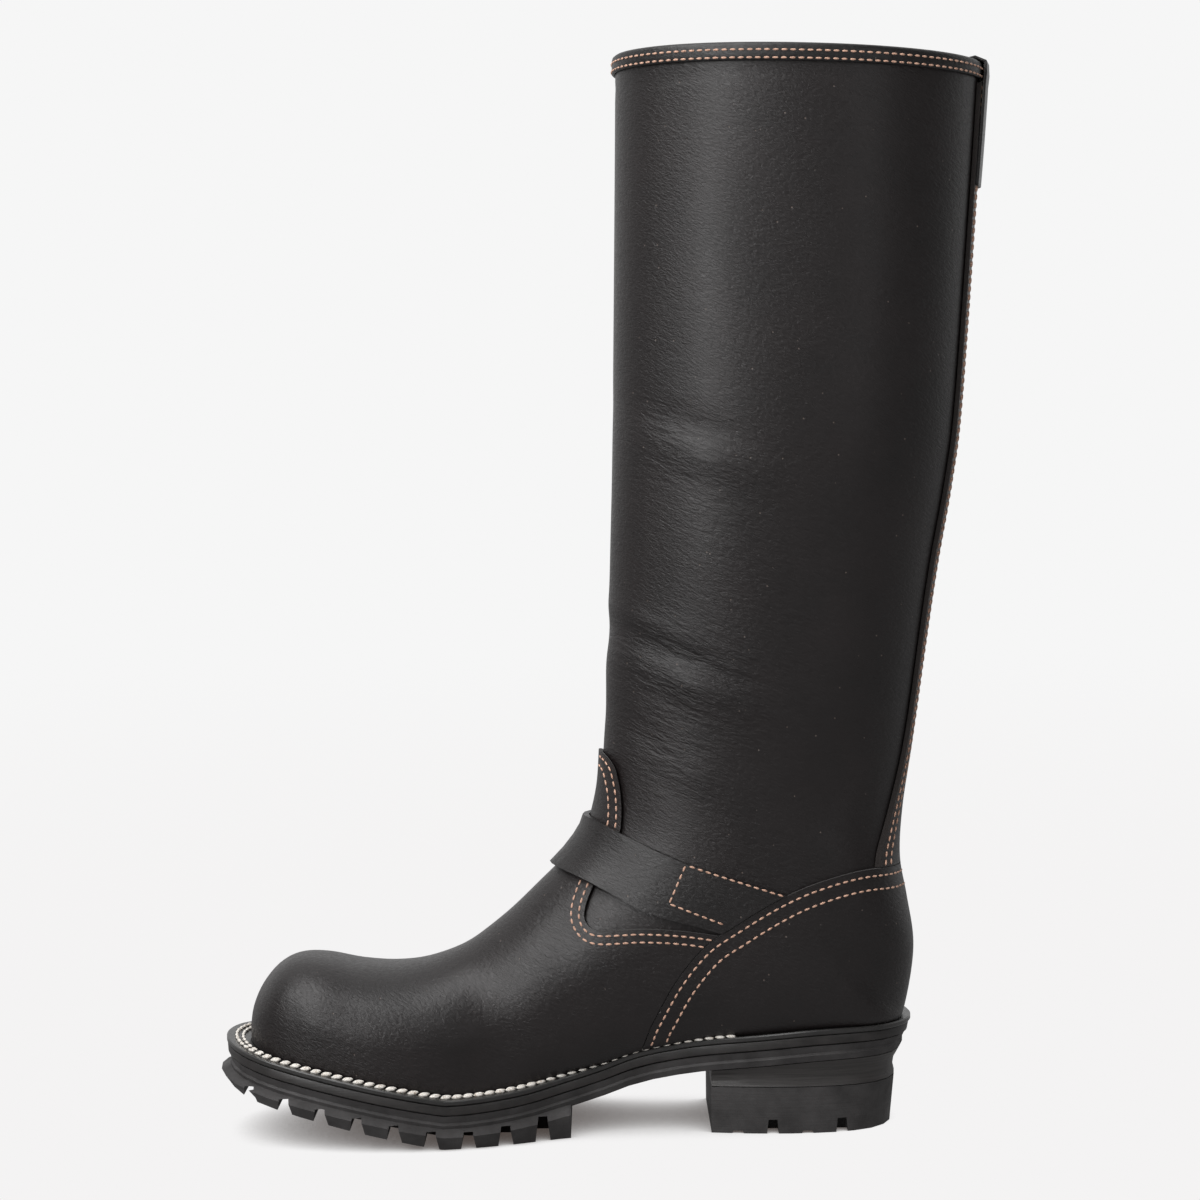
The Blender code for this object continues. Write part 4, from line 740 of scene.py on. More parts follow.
# Upper: shaft and foot in one hollow wall of thick black oiled leather, lasted over the welt. Wear has
# pressed soft folds into it above the ankle, and finer wrinkles lie over the folds.
WALL = 2.4
INSTEP_RISE = 130
THROAT_REACH = 130.4
SHAFT_RISE = 423.4
SHAFT_LEAN = 38.3
COLLAR_DEPTH = 160.3
COLLAR_WIDTH = 108
TOE_SWING = 8.4
UPPER_CELL = 3.0
UPPER_TURNS = 72
CREASE_REACH = 1.6
CREASE_PASSES = 30
LEATHER_DARK = "140f0f"
LEATHER_LIGHT = "1f1919"
FLESH_SIDE = "3a2d24"

# Sections of the foot from the toe to the throat, and of the shaft up to the collar, as shares of the
# sizes above
FOOT_COLUMNS = (
    "feather", "front", "rise", "swing", "follow", "inner", "outer", "widest", "crown", "side"
)
FOOT = (
    (1.0000, 1.0000, 0.000, 1.00, 1.05, 0.000, 0.000, 0.55, 2.20, 2.2),
    (0.9986, 0.9990, 0.058, 1.00, 1.05, 0.000, 0.000, 0.56, 2.20, 2.2),
    (0.9935, 0.9940, 0.120, 1.00, 1.05, 0.000, 0.000, 0.57, 2.20, 2.2),
    (0.9790, 0.9800, 0.193, 1.00, 1.05, 0.000, 0.000, 0.58, 2.25, 2.2),
    (0.9590, 0.9580, 0.258, 0.98, 1.05, 0.000, 0.000, 0.60, 2.30, 2.2),
    (0.9310, 0.9300, 0.298, 0.95, 1.05, 0.000, 0.000, 0.62, 2.35, 2.2),
    (0.8920, 0.8920, 0.314, 0.90, 1.05, 0.000, 0.000, 0.63, 2.35, 2.3),
    (0.8390, 0.8390, 0.316, 0.83, 1.04, 0.000, 0.000, 0.65, 2.25, 2.3),
    (0.7790, 0.7830, 0.334, 0.74, 1.04, 0.000, 0.000, 0.66, 2.15, 2.4),
    (0.7120, 0.7270, 0.376, 0.63, 1.03, 0.000, 0.000, 0.66, 2.05, 2.4),
    (0.6300, 0.6680, 0.440, 0.50, 0.98, 0.010, 0.010, 0.62, 1.95, 2.4),
    (0.5310, 0.6080, 0.524, 0.36, 0.50, 0.205, 0.196, 0.58, 1.90, 2.4),
    (0.4180, 0.5510, 0.622, 0.22, 0.20, 0.290, 0.300, 0.54, 1.85, 2.5),
    (0.2980, 0.5050, 0.700, 0.11, 0.00, 0.335, 0.350, 0.50, 1.85, 2.5),
    (0.1850, 0.4770, 0.772, 0.05, 0.00, 0.338, 0.346, 0.47, 1.88, 2.6),
    (0.0930, 0.4670, 0.838, 0.00, 0.00, 0.340, 0.343, 0.45, 1.90, 2.6),
    (0.0330, 0.4610, 0.893, 0.00, 0.00, 0.338, 0.338, 0.45, 1.92, 2.7),
    (0.0085, 0.4570, 0.940, 0.00, 0.00, 0.336, 0.336, 0.45, 1.93, 2.7),
)
SHAFT_COLUMNS = ("rear_out", "rear_up", "front_out", "front_up", "width", "widest", "crown", "side")
SHAFT = (
    (0.000, 0.0000, 0.000, 0.281, 0.694, 0.45, 1.95, 2.75),
    (0.090, 0.0346, 0.060, 0.297, 0.694, 0.45, 1.95, 2.75),
    (0.136, 0.0772, 0.120, 0.317, 0.694, 0.46, 1.97, 2.70),
    (0.060, 0.1246, 0.167, 0.340, 0.700, 0.46, 1.98, 2.60),
    (-0.015, 0.1670, 0.210, 0.364, 0.710, 0.47, 2.00, 2.45),
    (0.020, 0.2190, 0.286, 0.394, 0.735, 0.48, 2.00, 2.30),
    (0.135, 0.2856, 0.357, 0.428, 0.765, 0.49, 2.02, 2.20),
    (0.285, 0.3800, 0.430, 0.466, 0.800, 0.50, 2.04, 2.10),
    (0.446, 0.4750, 0.500, 0.508, 0.835, 0.50, 2.05, 2.05),
    (0.613, 0.5600, 0.595, 0.563, 0.872, 0.50, 2.05, 2.05),
    (0.732, 0.6450, 0.690, 0.6450, 0.910, 0.50, 2.05, 2.05),
    (0.917, 0.8740, 0.905, 0.8820, 0.980, 0.50, 2.05, 2.05),
    (1.000, 0.9875, 1.000, 1.0000, 1.000, 0.50, 2.05, 2.05),
)

# Soft folds in millimetres, as (side, x, z, angle, length, width, lift): the side is -1 inner, 1 outer
# or 0 both, x and z are the middle, the angle is above level towards the heel, the length and width
# are halves, and the lift is how far it stands out, or in where it is below zero
FOLDS = (
    (-1, -60, 212, -24, 40, 6, -1.9),
    (-1, -50, 199, -22, 36, 7, 1.5),
    (-1, -74, 226, -28, 24, 5, 0.8),
    (-1, -48, 309, -20, 36, 7, -1.2),
    (-1, -42, 297, -20, 34, 8, 1.2),
    (-1, -66, 172, -36, 26, 6, -1.0),
    (-1, -56, 163, -34, 26, 7, 1.0),
    (-1, 12, 150, 70, 30, 14, -1.5),
    (-1, -10, 385, -75, 60, 30, -1.7),
    (-1, -35, 250, -60, 50, 22, 1.0),
    (1, -58, 206, -20, 42, 6, -2.0),
    (1, -52, 193, -18, 38, 7, 1.7),
    (1, -46, 298, -24, 34, 8, -1.4),
    (1, -60, 168, -30, 28, 6, -1.2),
    (1, 10, 148, 72, 30, 14, -1.5),
    (1, -20, 380, -80, 55, 28, -1.5),
    (0, -20, 459, 1, 90, 2.2, -0.4),
    (0, -150, 84, 80, 16, 9, -0.5),
    (0, -104, 92, 62, 16, 8, -0.8),
)

# Where fine wrinkles show, in the same order, with their strength last
WRINKLES = (
    (-1, -52, 205, -24, 48, 17, 1.0),
    (-1, -48, 300, -20, 44, 20, 0.5),
    (-1, -58, 166, -34, 34, 16, 0.6),
    (-1, -20, 252, -30, 60, 32, 0.25),
    (1, -52, 200, -20, 48, 17, 1.0),
    (1, -50, 296, -22, 44, 20, 0.5),
    (1, -58, 164, -30, 34, 16, 0.6),
    (0, -112, 86, 58, 22, 14, 0.35),
)

FINE_LOOP = plan_outline(OUTLINE_STEPS)
FEATHER_LOOP = FINE_LOOP[:, :2] - outline_normals(FINE_LOOP) * FINE_LOOP[:, 2:3]
FEATHER_BACK = float(FEATHER_LOOP[:, 0].max())
FEATHER_TOE = float(FEATHER_LOOP[:, 0].min())
UPPER_LENGTH = FEATHER_BACK - FEATHER_TOE
SEAT_HEIGHT = float(feather_height(FEATHER_BACK))
LAST_SECTION = len(FOOT) + len(SHAFT) - 1


def feather_y(x, side):
    """Where the upper meets the welt, at x on the inner (-1) or outer (1) side."""
    start = int(np.argmax(FEATHER_LOOP[:, 0]))
    loop = np.roll(FEATHER_LOOP, -start, axis=0)
    turn = int(np.argmin(loop[:, 0]))
    if side < 0:
        run = loop[: turn + 1]
    else:
        run = np.concatenate([loop[turn:], loop[:1]])[::-1]
    return np.interp(-np.asarray(x, float), -run[:, 0], run[:, 1])


def sections():
    """Every section of the upper, as one array for each property."""
    foot = {name: column(FOOT, FOOT_COLUMNS, name) for name in FOOT_COLUMNS}
    shaft = {name: column(SHAFT, SHAFT_COLUMNS, name) for name in SHAFT_COLUMNS}
    front_x = FEATHER_BACK - foot["front"] * UPPER_LENGTH
    throat_x = FEATHER_BACK - THROAT_REACH
    collar_front = FEATHER_BACK + SHAFT_LEAN - COLLAR_DEPTH
    shaft_x = throat_x + shaft["front_out"] * (collar_front - throat_x)
    front_z = feather_height(front_x) + foot["rise"] * INSTEP_RISE
    none = np.zeros(len(SHAFT))
    half = shaft["width"] * COLLAR_WIDTH / 2
    return {
        "front_x": np.concatenate([front_x, shaft_x]),
        "front_z": np.concatenate([front_z, SEAT_HEIGHT + shaft["front_up"] * SHAFT_RISE]),
        "rear_x": np.concatenate(
            [FEATHER_BACK - foot["feather"] * UPPER_LENGTH, FEATHER_BACK + shaft["rear_out"] * SHAFT_LEAN]
        ),
        "rear_up": np.concatenate([np.zeros(len(FOOT)), shaft["rear_up"] * SHAFT_RISE]),
        "centre": np.concatenate([-foot["swing"] * TOE_SWING, none]),
        "follow": np.concatenate([foot["follow"], none]),
        "inner": np.concatenate([foot["inner"] * BALL_WIDTH, half]),
        "outer": np.concatenate([foot["outer"] * BALL_WIDTH, half]),
        "widest": np.concatenate([foot["widest"], shaft["widest"]]),
        "crown": np.concatenate([foot["crown"], shaft["crown"]]),
        "side": np.concatenate([foot["side"], shaft["side"]]),
    }


SECTIONS = sections()


def upper_surface(t, turn, side):
    """Points of the upper's outer face. t counts sections from the toe to the collar, and turn goes from
    0 on the front line to 1 at the feather or the back seam, on the inner (-1) or outer (1) side."""
    t = np.asarray(t, float)[:, None]
    turn = np.asarray(turn, float)[None, :]
    order = np.arange(LAST_SECTION + 1)
    at = {name: curve_through(order, values, t) for name, values in SECTIONS.items()}
    at["rear_x"] = np.clip(at["rear_x"], FEATHER_TOE, None)
    on_sole = t < len(FOOT)
    at["rear_x"] = np.where(on_sole, np.minimum(at["rear_x"], FEATHER_BACK), at["rear_x"])
    rear_z = np.where(on_sole, feather_height(at["rear_x"]), SEAT_HEIGHT + at["rear_up"])
    edge = np.where(on_sole, side * (feather_y(at["rear_x"], side) - at["centre"]), 0.0)
    edge = np.clip(edge, 0.0, None)
    half = at["follow"] * edge + at["inner" if side < 0 else "outer"]
    above = np.clip(turn * 2, 0.0, 1.0) * math.pi / 2
    below = np.clip(turn * 2 - 1, 0.0, 1.0) * math.pi / 2
    crown = 2 / at["crown"]
    flank = 2 / at["side"]
    upper_half = turn <= 0.5
    share = np.where(
        upper_half,
        at["widest"] * (1 - np.cos(above) ** crown),
        at["widest"] + (1 - at["widest"]) * np.sin(below) ** flank,
    )
    reach = np.where(upper_half, half * np.sin(above) ** crown, edge + (half - edge) * np.cos(below) ** flank)
    x = at["front_x"] + share * (at["rear_x"] - at["front_x"])
    z = at["front_z"] + share * (rear_z - at["front_z"])
    y = at["centre"] + side * reach
    return np.stack(np.broadcast_arrays(x, y, z), axis=-1)


def grid_normals(grid):
    """Outward direction at each point of a grid of rows."""
    normals = np.cross(np.gradient(grid, axis=0), np.gradient(grid, axis=1))
    normals /= np.maximum(np.linalg.norm(normals, axis=2, keepdims=True), 1e-12)
    seam = np.linalg.norm(grid[:, 0] - grid[:, -1], axis=1) < 0.01
    mean = normals[seam, 0] + normals[seam, -1]
    mean /= np.linalg.norm(mean, axis=1, keepdims=True)
    normals[seam, 0] = mean
    normals[seam, -1] = mean
    return normals


def fold_sum(table, points):
    """How far the folds of a table lift each point."""
    total = np.zeros(points.shape[:-1])
    for side, x, z, angle, length, width, lift in table:
        slope = math.radians(angle)
        away_x = points[..., 0] - x
        away_z = points[..., 2] - z
        along = (away_x * math.cos(slope) + away_z * math.sin(slope)) / length
        across = (away_z * math.cos(slope) - away_x * math.sin(slope)) / width
        here = 1.0 if side == 0 else 1 / (1 + np.exp(-side * points[..., 1] / 6))
        total += lift * here * np.exp(-(along**2) * 1.5 - across**2)
    return total


def section_rows(first, last, cell):
    """Section numbers whose rows lie about one cell apart at their widest."""
    fine = np.linspace(first, last, int(40 * (last - first)))
    points = upper_surface(fine, [0.0, 0.5, 1.0], -1)
    steps = np.linalg.norm(np.diff(points, axis=0), axis=2).max(axis=1)
    run = np.concatenate([[0.0], np.cumsum(steps)])
    return np.interp(np.linspace(0, run[-1], int(run[-1] / cell) + 1), run, fine)


def smoothed_rows(grid, t):
    """Evens out the change of slope where the last foot section meets the first of the shaft."""
    weight = np.exp(-(((t - len(FOOT) + 0.5) / CREASE_REACH) ** 2))[:, None, None]
    for _ in range(CREASE_PASSES):
        mean = grid.copy()
        mean[1:-1] = (grid[:-2] + 2 * grid[1:-1] + grid[2:]) / 4
        mean[:, (0, -1)] = grid[:, (0, -1)]
        grid = grid + (mean - grid) * weight
    return grid


def boot_grid(first, last, cell, turns):
    """Rows of points over the boot between two sections, folds included, and their normals."""
    t = section_rows(first, last, cell)
    turn = np.linspace(0, 1, turns + 1)
    inner = upper_surface(t, turn, -1)
    outer = upper_surface(t, turn, 1)
    grid = smoothed_rows(np.concatenate([inner[:, ::-1], outer[:, 1:]], axis=1), t)
    normals = grid_normals(grid)
    grid = grid + normals * fold_sum(FOLDS, grid)[..., None]
    return grid, grid_normals(grid)


def sheet_piece(name, grid, thickness, offset, mats):
    """A sheet over a grid of points, thickened to a wall. The wall's hidden side has the second finish."""
    bm = bmesh.new()
    rows, cols = grid.shape[:2]
    verts = [bm.verts.new(point) for point in grid.reshape(-1, 3)]
    for i in range(rows - 1):
        for j in range(cols - 1):
            a = i * cols + j
            bm.faces.new((verts[a], verts[a + cols], verts[a + cols + 1], verts[a + 1]))
    bmesh.ops.remove_doubles(bm, verts=bm.verts, dist=0.02)
    bmesh.ops.dissolve_degenerate(bm, edges=bm.edges, dist=0.001)
    obj = add_piece(name, bm, mats)
    wall = obj.modifiers.new("wall", "SOLIDIFY")
    wall.thickness = thickness * MM
    wall.offset = offset
    wall.material_offset = 1
    wall.material_offset_rim = 1
    return baked(obj)


def finish_sheet(obj, corner=40):
    """Smooth shading with crisp cut edges, and the mask of fine wrinkles as an attribute."""
    mesh = obj.data
    mesh.shade_smooth()
    mesh.set_sharp_from_angle(angle=math.radians(corner))
    points = np.empty(len(mesh.vertices) * 3)
    mesh.vertices.foreach_get("co", points)
    mask = fold_sum(WRINKLES, points.reshape(-1, 3) / MM).astype(np.float32)
    layer = mesh.attributes.new("wrinkle", "FLOAT", "POINT")
    layer.data.foreach_set("value", mask)


def oiled_leather(name, dark=LEATHER_DARK, light=LEATHER_LIGHT):
    """Full-grain black leather with oil and wax in it: satin, with a short fibrous grain about a
    millimetre long, a few open pores with a light speck painted in each as a glint, and sharper wrinkles
    where the mask asks for them."""
    mat, tree, shader, place = new_material(name, {"Coat Weight": 0.2, "Coat Roughness": 0.32})
    cloud = noise(tree, place, 45, detail=3.0)
    grain = noise(tree, place, 1.1, stretch=(2.2, 2.2, 0.8), turn=28, detail=4.0, twist=0.5)
    pebble = noise(tree, place, 2.4, detail=3.0, twist=0.4)
    wrinkle = noise(tree, place, 2.4, stretch=(5, 5, 1), turn=23, detail=4.0, twist=0.5)
    mask = add_node(tree, "ShaderNodeAttribute", {}, attribute_name="wrinkle").outputs["Fac"]
    pressed = add_node(tree, "ShaderNodeMath", {0: wrinkle, 1: mask}, operation="MULTIPLY").outputs[0]
    holes = add_node(tree, "ShaderNodeTexVoronoi", {"Vector": place, "Scale": 1 / (7.0 * MM)})
    pore = value_between(tree, holes.outputs["Distance"], 0.0, 1.0, 0.04, 0.09)
    # Painted highlight: a light speck in the colour at the middle of each pore stands in for the glints of
    # the grain.
    speck = value_between(tree, holes.outputs["Distance"], 1.0, 0.0, 0.03, 0.06)
    body = colour_between(tree, cloud, dark, light)
    glint_painted = add_node(
        tree, "ShaderNodeMix", {0: speck, 6: body, 7: srgb("6b5f58")}, data_type="RGBA"
    )
    tree.links.new(glint_painted.outputs[2], shader.inputs["Base Color"])
    tree.links.new(value_between(tree, grain, 0.3, 0.48), shader.inputs["Roughness"])
    relief = bump(tree, pressed, 2.2)
    relief = bump(tree, pebble, 0.16, relief)
    relief = bump(tree, grain, 0.42, relief)
    relief = bump(tree, pore, 0.1, relief)
    tree.links.new(relief, shader.inputs["Normal"])
    return mat


def flesh_side(name, light=FLESH_SIDE):
    """The cut or inner side of black leather: matt, fibrous, browner than the grain side."""
    mat, tree, shader, place = new_material(name, {"Roughness": 0.85, "Sheen Weight": 0.15})
    fibre = noise(tree, place, 0.8, detail=5.0)
    tree.links.new(colour_between(tree, fibre, "1d1715", light), shader.inputs["Base Color"])
    tree.links.new(bump(tree, fibre, 0.2), shader.inputs["Normal"])
    return mat


shaft_leather = oiled_leather("oiled_black_shaft_leather")
flesh = flesh_side("flesh_side_of_leather")
raw_edge = flesh_side("raw_cut_edge", "2a2422")
grid, _ = boot_grid(0, LAST_SECTION, UPPER_CELL, UPPER_TURNS)
upper = sheet_piece("upper_wall", grid, WALL, -1, [shaft_leather, flesh])
finish_sheet(upper)
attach(upper, "root")
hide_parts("upper")


# Counter, vamp and backstay: leather panels laid over the upper and sewn down near their cut edges.
# The counter wraps the heel, the vamp covers the foot with a tab up the front, and the backstay covers
# the back seam and goes under the counter.
OVERLAY = 1.8
PANEL_CELL = 2.2
PANEL_TURNS = 92
COUNTER_START = 8
PANEL_TOP = 25
BACKSTAY_START = 17
BINDING_DEPTH = 6
PULL_WIDTH = 27
FAR = 2 * SOLE_LENGTH

EDGE_COLUMNS = ("along", "up")
THROAT_EDGE = (
    (0.500, 0.920),
    (0.463, 0.916),
    (0.441, 0.875),
    (0.432, 0.808),
    (0.429, 0.742),
    (0.431, 0.666),
    (0.441, 0.610),
    (0.475, 0.471),
    (0.487, 0.399),
    (0.484, 0.358),
    (0.465, 0.337),
    (0.401, 0.343),
    (0.340, 0.336),
    (0.276, 0.316),
)
COUNTER_EDGE = (
    (-0.100, 0.516),
    (0.000, 0.523),
    (0.058, 0.525),
    (0.109, 0.505),
    (0.160, 0.468),
    (0.207, 0.418),
    (0.258, 0.351),
    (0.305, 0.281),
    (0.348, 0.167),
    (0.380, 0.041),
    (0.392, -0.018),
    (0.420, -0.200),
)

# Half width of the backstay: shares of PULL_WIDTH at shares of SHAFT_RISE
BACKSTAY_COLUMNS = ("up", "half")
BACKSTAY = ((0.10, 1.20), (0.165, 1.00), (0.20, 0.82), (0.24, 0.66), (0.30, 0.55), (0.45, 0.53), (1.0, 0.56))


def side_curve(table, steps=12):
    """A panel's edge in side view, as a smooth run of (x, z) points."""
    along = column(table, EDGE_COLUMNS, "along")
    up = column(table, EDGE_COLUMNS, "up")
    order = np.arange(len(table))
    marks = np.linspace(0, len(table) - 1, (len(table) - 1) * steps + 1)
    x = FEATHER_BACK - curve_through(order, along, marks) * UPPER_LENGTH
    z = SEAT_HEIGHT + curve_through(order, up, marks) * INSTEP_RISE
    return np.column_stack([x, z])


def feather_run(start_x, end_x, drop=0.0):
    x = np.linspace(start_x, end_x, 120)
    return np.column_stack([x, feather_height(x) + drop])


def moved(curve, distance):
    """A side-view curve moved to the left of its direction by a distance."""
    ahead = np.gradient(curve, axis=0)
    left = np.column_stack([-ahead[:, 1], ahead[:, 0]])
    return curve + left / np.linalg.norm(left, axis=1)[:, None] * distance


def prism(outline, axis, low, high):
    """A cutter from a flat outline, drawn out along an axis. Its faces carry the raw edge's finish."""
    bm = bmesh.new()
    places = {"x": (1, 2, 0), "y": (0, 2, 1)}[axis]
    ends = []
    for level in (low, high):
        verts = []
        for pair in outline:
            point = [0.0, 0.0, 0.0]
            point[places[0]], point[places[1]] = pair
            point[places[2]] = level
            verts.append(bm.verts.new(point))
        ends.append(verts)
    bm.faces.new(ends[0])
    bm.faces.new(ends[1])
    for i in range(len(outline)):
        j = (i + 1) % len(outline)
        bm.faces.new((ends[0][i], ends[0][j], ends[1][j], ends[1][i]))
    bmesh.ops.triangulate(bm, faces=[face for face in bm.faces if len(face.verts) > 4])
    bmesh.ops.recalc_face_normals(bm, faces=bm.faces)
    for face in bm.faces:
        face.material_index = 1
    obj = add_piece("cutter", bm, [raw_edge, raw_edge])
    obj.hide_render = True
    return obj


def cut(obj, *steps):
    """Cuts a sheet by one cutter after another, then removes the cutters."""
    for operation, cutter in steps:
        modifier = obj.modifiers.new("cut", "BOOLEAN")
        modifier.operation = operation
        modifier.object = cutter
        modifier.solver = "MANIFOLD"
        baked(obj)
    bm = bmesh.new()
    bm.from_mesh(obj.data)
    bmesh.ops.recalc_face_normals(bm, faces=bm.faces)
    bm.to_mesh(obj.data)
    bm.free()
    for _, cutter in steps:
        bpy.data.objects.remove(cutter, do_unlink=True)


def panel(name, grid, normals, lift, thickness, node, steps, grain):
    """One leather panel: a raised sheet cut to its outline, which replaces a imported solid."""
    obj = sheet_piece(name, grid + normals * lift, thickness, 1, [grain, raw_edge])
    for polygon in obj.data.polygons:
        polygon.material_index = 0
    cut(obj, *steps)
    finish_sheet(obj)
    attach(obj, "root")
    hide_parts(node)
    return obj


counter_edge = side_curve(COUNTER_EDGE)
counter_edge = counter_edge[counter_edge[:, 1] > feather_height(counter_edge[:, 0])]
throat_edge = side_curve(THROAT_EDGE)
behind = FEATHER_BACK + 2 * WELT_LEDGE
counter_outline = np.concatenate([counter_edge, feather_run(counter_edge[-1, 0], behind)])


def counter_space():
    """The counter's outline, grown by the fit between panels."""
    run = feather_run(counter_edge[-1, 0] - GAP, behind, -WELT_LEDGE)
    return prism(np.concatenate([moved(counter_edge, -GAP), run]), "y", -FAR, FAR)


grid, normals = boot_grid(COUNTER_START, PANEL_TOP, PANEL_CELL, PANEL_TURNS)
counter_leather = oiled_leather("oiled_black_counter_leather")
counter = panel(
    "counter_panel",
    grid,
    normals,
    GAP,
    OVERLAY,
    "counter",
    [("INTERSECT", prism(counter_outline, "y", -FAR, FAR))],
    counter_leather,
)

ahead_x = FEATHER_TOE - WELT_LEDGE
rear_x = FEATHER_BACK - WELT_LEDGE
vamp_outline = np.concatenate(
    [
        [(ahead_x, throat_edge[0, 1])],
        throat_edge,
        [(rear_x, throat_edge[-1, 1])],
        feather_run(rear_x, ahead_x),
    ]
)
grid, normals = boot_grid(0, PANEL_TOP, PANEL_CELL, PANEL_TURNS)
normals[0] = (-1.0, 0.0, 0.0)
vamp_leather = oiled_leather("oiled_black_vamp_leather")
vamp = panel(
    "vamp_panel",
    grid,
    normals,
    GAP,
    OVERLAY,
    "vamp",
    [("INTERSECT", prism(vamp_outline, "y", -FAR, FAR)), ("DIFFERENCE", counter_space())],
    vamp_leather,
)

up = np.linspace(BACKSTAY[0][0], 1.0, 60)
backstay_half = PULL_WIDTH * curve_through(
    column(BACKSTAY, BACKSTAY_COLUMNS, "up"), column(BACKSTAY, BACKSTAY_COLUMNS, "half"), up
)
collar_rear = SEAT_HEIGHT + SHAFT_RISE * SHAFT[-1][SHAFT_COLUMNS.index("rear_up")]
collar_front = SEAT_HEIGHT + SHAFT_RISE * SHAFT[-1][SHAFT_COLUMNS.index("front_up")]
backstay_edge = np.column_stack([backstay_half, SEAT_HEIGHT + up * SHAFT_RISE])
backstay_edge = backstay_edge[backstay_edge[:, 1] < collar_rear - BINDING_DEPTH - GAP]
grid, normals = boot_grid(BACKSTAY_START, LAST_SECTION, PANEL_CELL, PANEL_TURNS)
kept = PANEL_TURNS // 2
order = np.concatenate([np.arange(grid.shape[1] - kept, grid.shape[1]), np.arange(1, kept)])
backstay = panel(
    "backstay_strip",
    grid[:, order],
    normals[:, order],
    GAP,
    OVERLAY,
    "backstay",
    [
        ("INTERSECT", prism(np.concatenate([backstay_edge, (backstay_edge * (-1, 1))[::-1]]), "x", 0, FAR)),
        ("DIFFERENCE", counter_space()),
    ],
    shaft_leather,
)


# Collar binding: thin soft leather folded over the rim and sewn through both faces with two rows.
BINDING_THICKNESS = 1.2
BINDING_TURNS = 110
BINDING_ROWS = (1.5, 4.9)


def collar_loop(below, out, rise=0.0):
    """The shaft's section a length below the collar, moved out from its outer face and raised, with
    the level direction out of it."""
    marks = np.linspace(len(FOOT) + len(SHAFT) / 2, LAST_SECTION, 130)
    heights = curve_through(np.arange(LAST_SECTION + 1), SECTIONS["front_z"], marks)
    t = float(np.interp(collar_front - below, heights, marks))
    turn = np.linspace(0, 1, BINDING_TURNS + 1)
    loop = np.concatenate([upper_surface([t], turn, -1)[0][::-1], upper_surface([t], turn, 1)[0][1:-1]])
    ahead = np.roll(loop, -1, axis=0) - np.roll(loop, 1, axis=0)
    normals = np.column_stack([-ahead[:, 1], ahead[:, 0], np.zeros(len(loop))])
    normals /= np.linalg.norm(normals, axis=1)[:, None]
    loop += normals * out
    loop[:, 2] += rise
    return loop, normals


bend = []
for turn in np.linspace(0, math.pi, 7):
    middle = -WALL / 2
    half = WALL / 2 + GAP + BINDING_THICKNESS
    bend.append(collar_loop(0.0, middle + half * math.cos(turn), half * 0.75 * math.sin(turn))[0])
outside = GAP + BINDING_THICKNESS
inside = -WALL - GAP
binding_leather = oiled_leather("thin_folded_binding_leather", "110f0f", "1c1919")
binding = ring_piece(
    "collar_fold",
    [
        collar_loop(BINDING_DEPTH, GAP)[0],
        collar_loop(BINDING_DEPTH, outside - 0.4)[0],
        collar_loop(BINDING_DEPTH - 0.4, outside)[0],
        collar_loop(BINDING_DEPTH * 0.5, outside)[0],
        *bend,
        collar_loop(BINDING_DEPTH, inside - BINDING_THICKNESS)[0],
        collar_loop(BINDING_DEPTH, inside)[0],
        collar_loop(0.0, inside)[0],
        collar_loop(0.0, GAP)[0],
    ],
    [binding_leather],
    50,
)
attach(binding, "root")
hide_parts("collar_binding")


# Pull strap, instep strap and its keeper: cut straps with waxed edges. The belt crosses the instep and
# goes under the counter on the inner side, and its free end passes the buckle on the outer side.
STRAP_CORNER = 0.7
STRAP_EDGE_ANGLE = 42
strap_leather = oiled_leather("bridle_strap_leather", "131010", "1e1a1a")
for strap in ("pull_strap", "instep_strap", "buckle_strap", "strap_keeper"):
    dress_node(strap, strap_leather, STRAP_EDGE_ANGLE, STRAP_CORNER)


# Seams: copper-brown waxed thread in long lockstitches, two rows beside most cut edges.
SEAM_PITCH = 3.65
SEAM_STITCH = (2.7, 0.95, 0.8)
SEAM_THREAD = "e6b9a0"
# Colour of the shade painted between the seam thread's plies
SEAM_PAINTED_SHADE = "8a5c48"
SEAM_INSETS = (2.2, 5.6)
FACING_LIMIT = -0.12
SURFACE_JUMP = 2.5
SHORTEST_RUN = 12
COUNTER_INSETS = (3.1, 8.9)
seam_thread = twisted_thread("waxed_copper_brown_thread", SEAM_THREAD, SEAM_PAINTED_SHADE, 1.1)


def surface_tree(*pieces):
    """The faces of one or more pieces, for laying seams on them."""
    verts = []
    faces = []
    for piece in pieces:
        graph = bpy.context.evaluated_depsgraph_get()
        mesh = piece.evaluated_get(graph).data
        start = len(verts)
        verts.extend(v.co.copy() for v in mesh.vertices)
        faces.extend([start + i for i in polygon.vertices] for polygon in mesh.polygons)
    return BVHTree.FromPolygons(verts, faces)


def laid_run(tree, run, way, pitch=SEAM_PITCH):
    """Stitch places on a surface along a run of points in millimetres, met along a level direction.
    A run breaks where the surface ends."""
    way = Vector(way)
    hits = []
    rows = []
    for point in run:
        start = Vector(point) * MM - way
        place, normal, _, _ = tree.ray_cast(start, way)
        if place is None or normal.dot(way) > FACING_LIMIT:
            place = None
        jumped = place is not None and hits and (place / MM - Vector(hits[-1][:3])).length > SURFACE_JUMP
        if (place is None or jumped) and hits:
            rows.append(hits)
            hits = []
        if place is not None:
            hits.append((*(place / MM), *normal))
    rows.append(hits)
    return [resampled(np.array(row), pitch) for row in rows if len(row) > SHORTEST_RUN]


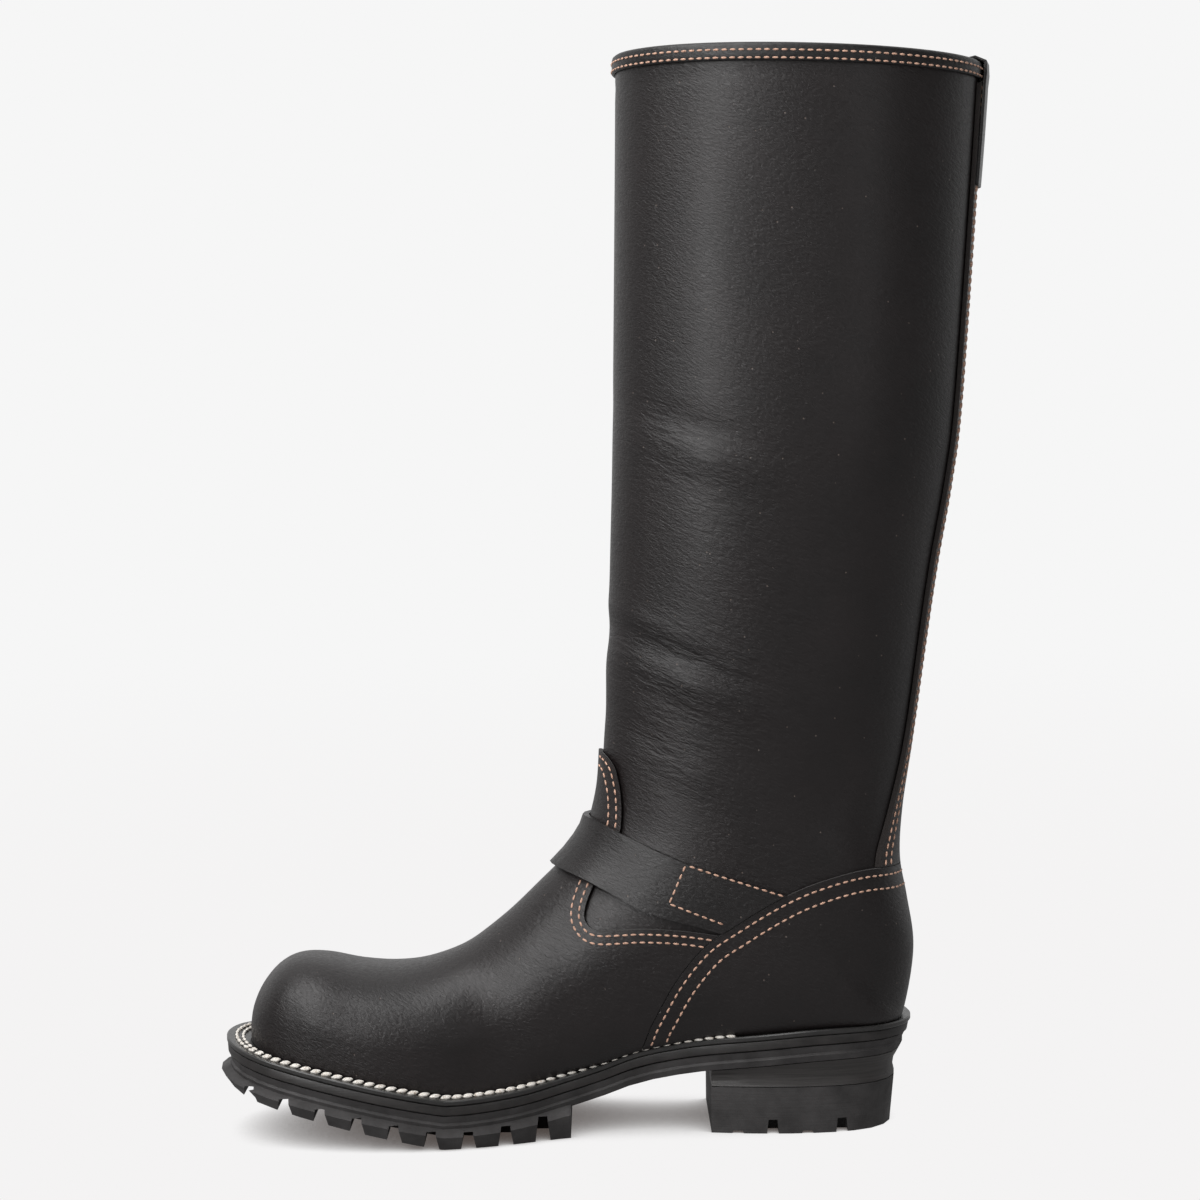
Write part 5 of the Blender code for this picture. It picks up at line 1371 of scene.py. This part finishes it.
def densely(curve, step=0.4):
    """A flat run of points with one about every step along it."""
    run = np.concatenate([[0.0], np.cumsum(np.linalg.norm(np.diff(curve, axis=0), axis=1))])
    marks = np.arange(0, run[-1], step)
    return np.column_stack([np.interp(marks, run, curve[:, 0]), np.interp(marks, run, curve[:, 1])])


def side_rows(tree, curve, sides=(-1, 1)):
    """Rows laid on a surface from both sides along a side-view curve."""
    rows = []
    for side in sides:
        run = [(x, 0.0, z) for x, z in densely(curve)]
        rows += laid_run(tree, run, (0.0, -side, 0.0))
    return rows


vamp_tree = surface_tree(vamp)
counter_tree = surface_tree(counter)
backstay_tree = surface_tree(backstay)
seams = []
for inset in SEAM_INSETS:
    seams += side_rows(vamp_tree, moved(throat_edge, -inset))
    for side in (-1, 1):
        edge = densely(backstay_edge * (side, 1) - (side * inset, 0))
        seams += laid_run(backstay_tree, [(0.0, y, z) for y, z in edge], (-1.0, 0.0, 0.0))
for inset in COUNTER_INSETS:
    seams += side_rows(counter_tree, moved(counter_edge, inset))
for below in BINDING_ROWS:
    loop, normals = collar_loop(below, outside)
    closed = np.column_stack([loop, normals])
    seams.append(resampled(np.concatenate([closed, closed[:1]]), SEAM_PITCH))

STRAP_BOX = ((-9.8, 105.7), (-52.8, 119.7), (-60.2, 103.2), (-37.2, 94.2))
strap_tree = surface_tree(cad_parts["instep_strap"])
for start, end in zip(STRAP_BOX, STRAP_BOX[1:]):
    seams += side_rows(strap_tree, np.array([start, end]), (-1,))
sew("seam_stitches", seams, SEAM_STITCH, seam_thread)


# Buckle: a plain roller-free frame and prong of nickel-plated wire, on the outer side.
def nickel_wire(name):
    """Nickel plate on drawn wire: bright, with faint draw marks and handling marks."""
    mat, tree, shader, place = new_material(name, {"Metallic": 1.0, "Base Color": srgb("cfcac2")})
    marks = noise(tree, place, 1.2, detail=4.0)
    tree.links.new(value_between(tree, marks, 0.16, 0.34), shader.inputs["Roughness"])
    tree.links.new(bump(tree, marks, 0.02), shader.inputs["Normal"])
    return mat


nickel = nickel_wire("nickel_plated_wire")
dress_node("buckle_frame", nickel, 60)
dress_node("buckle_prong", nickel, 60)
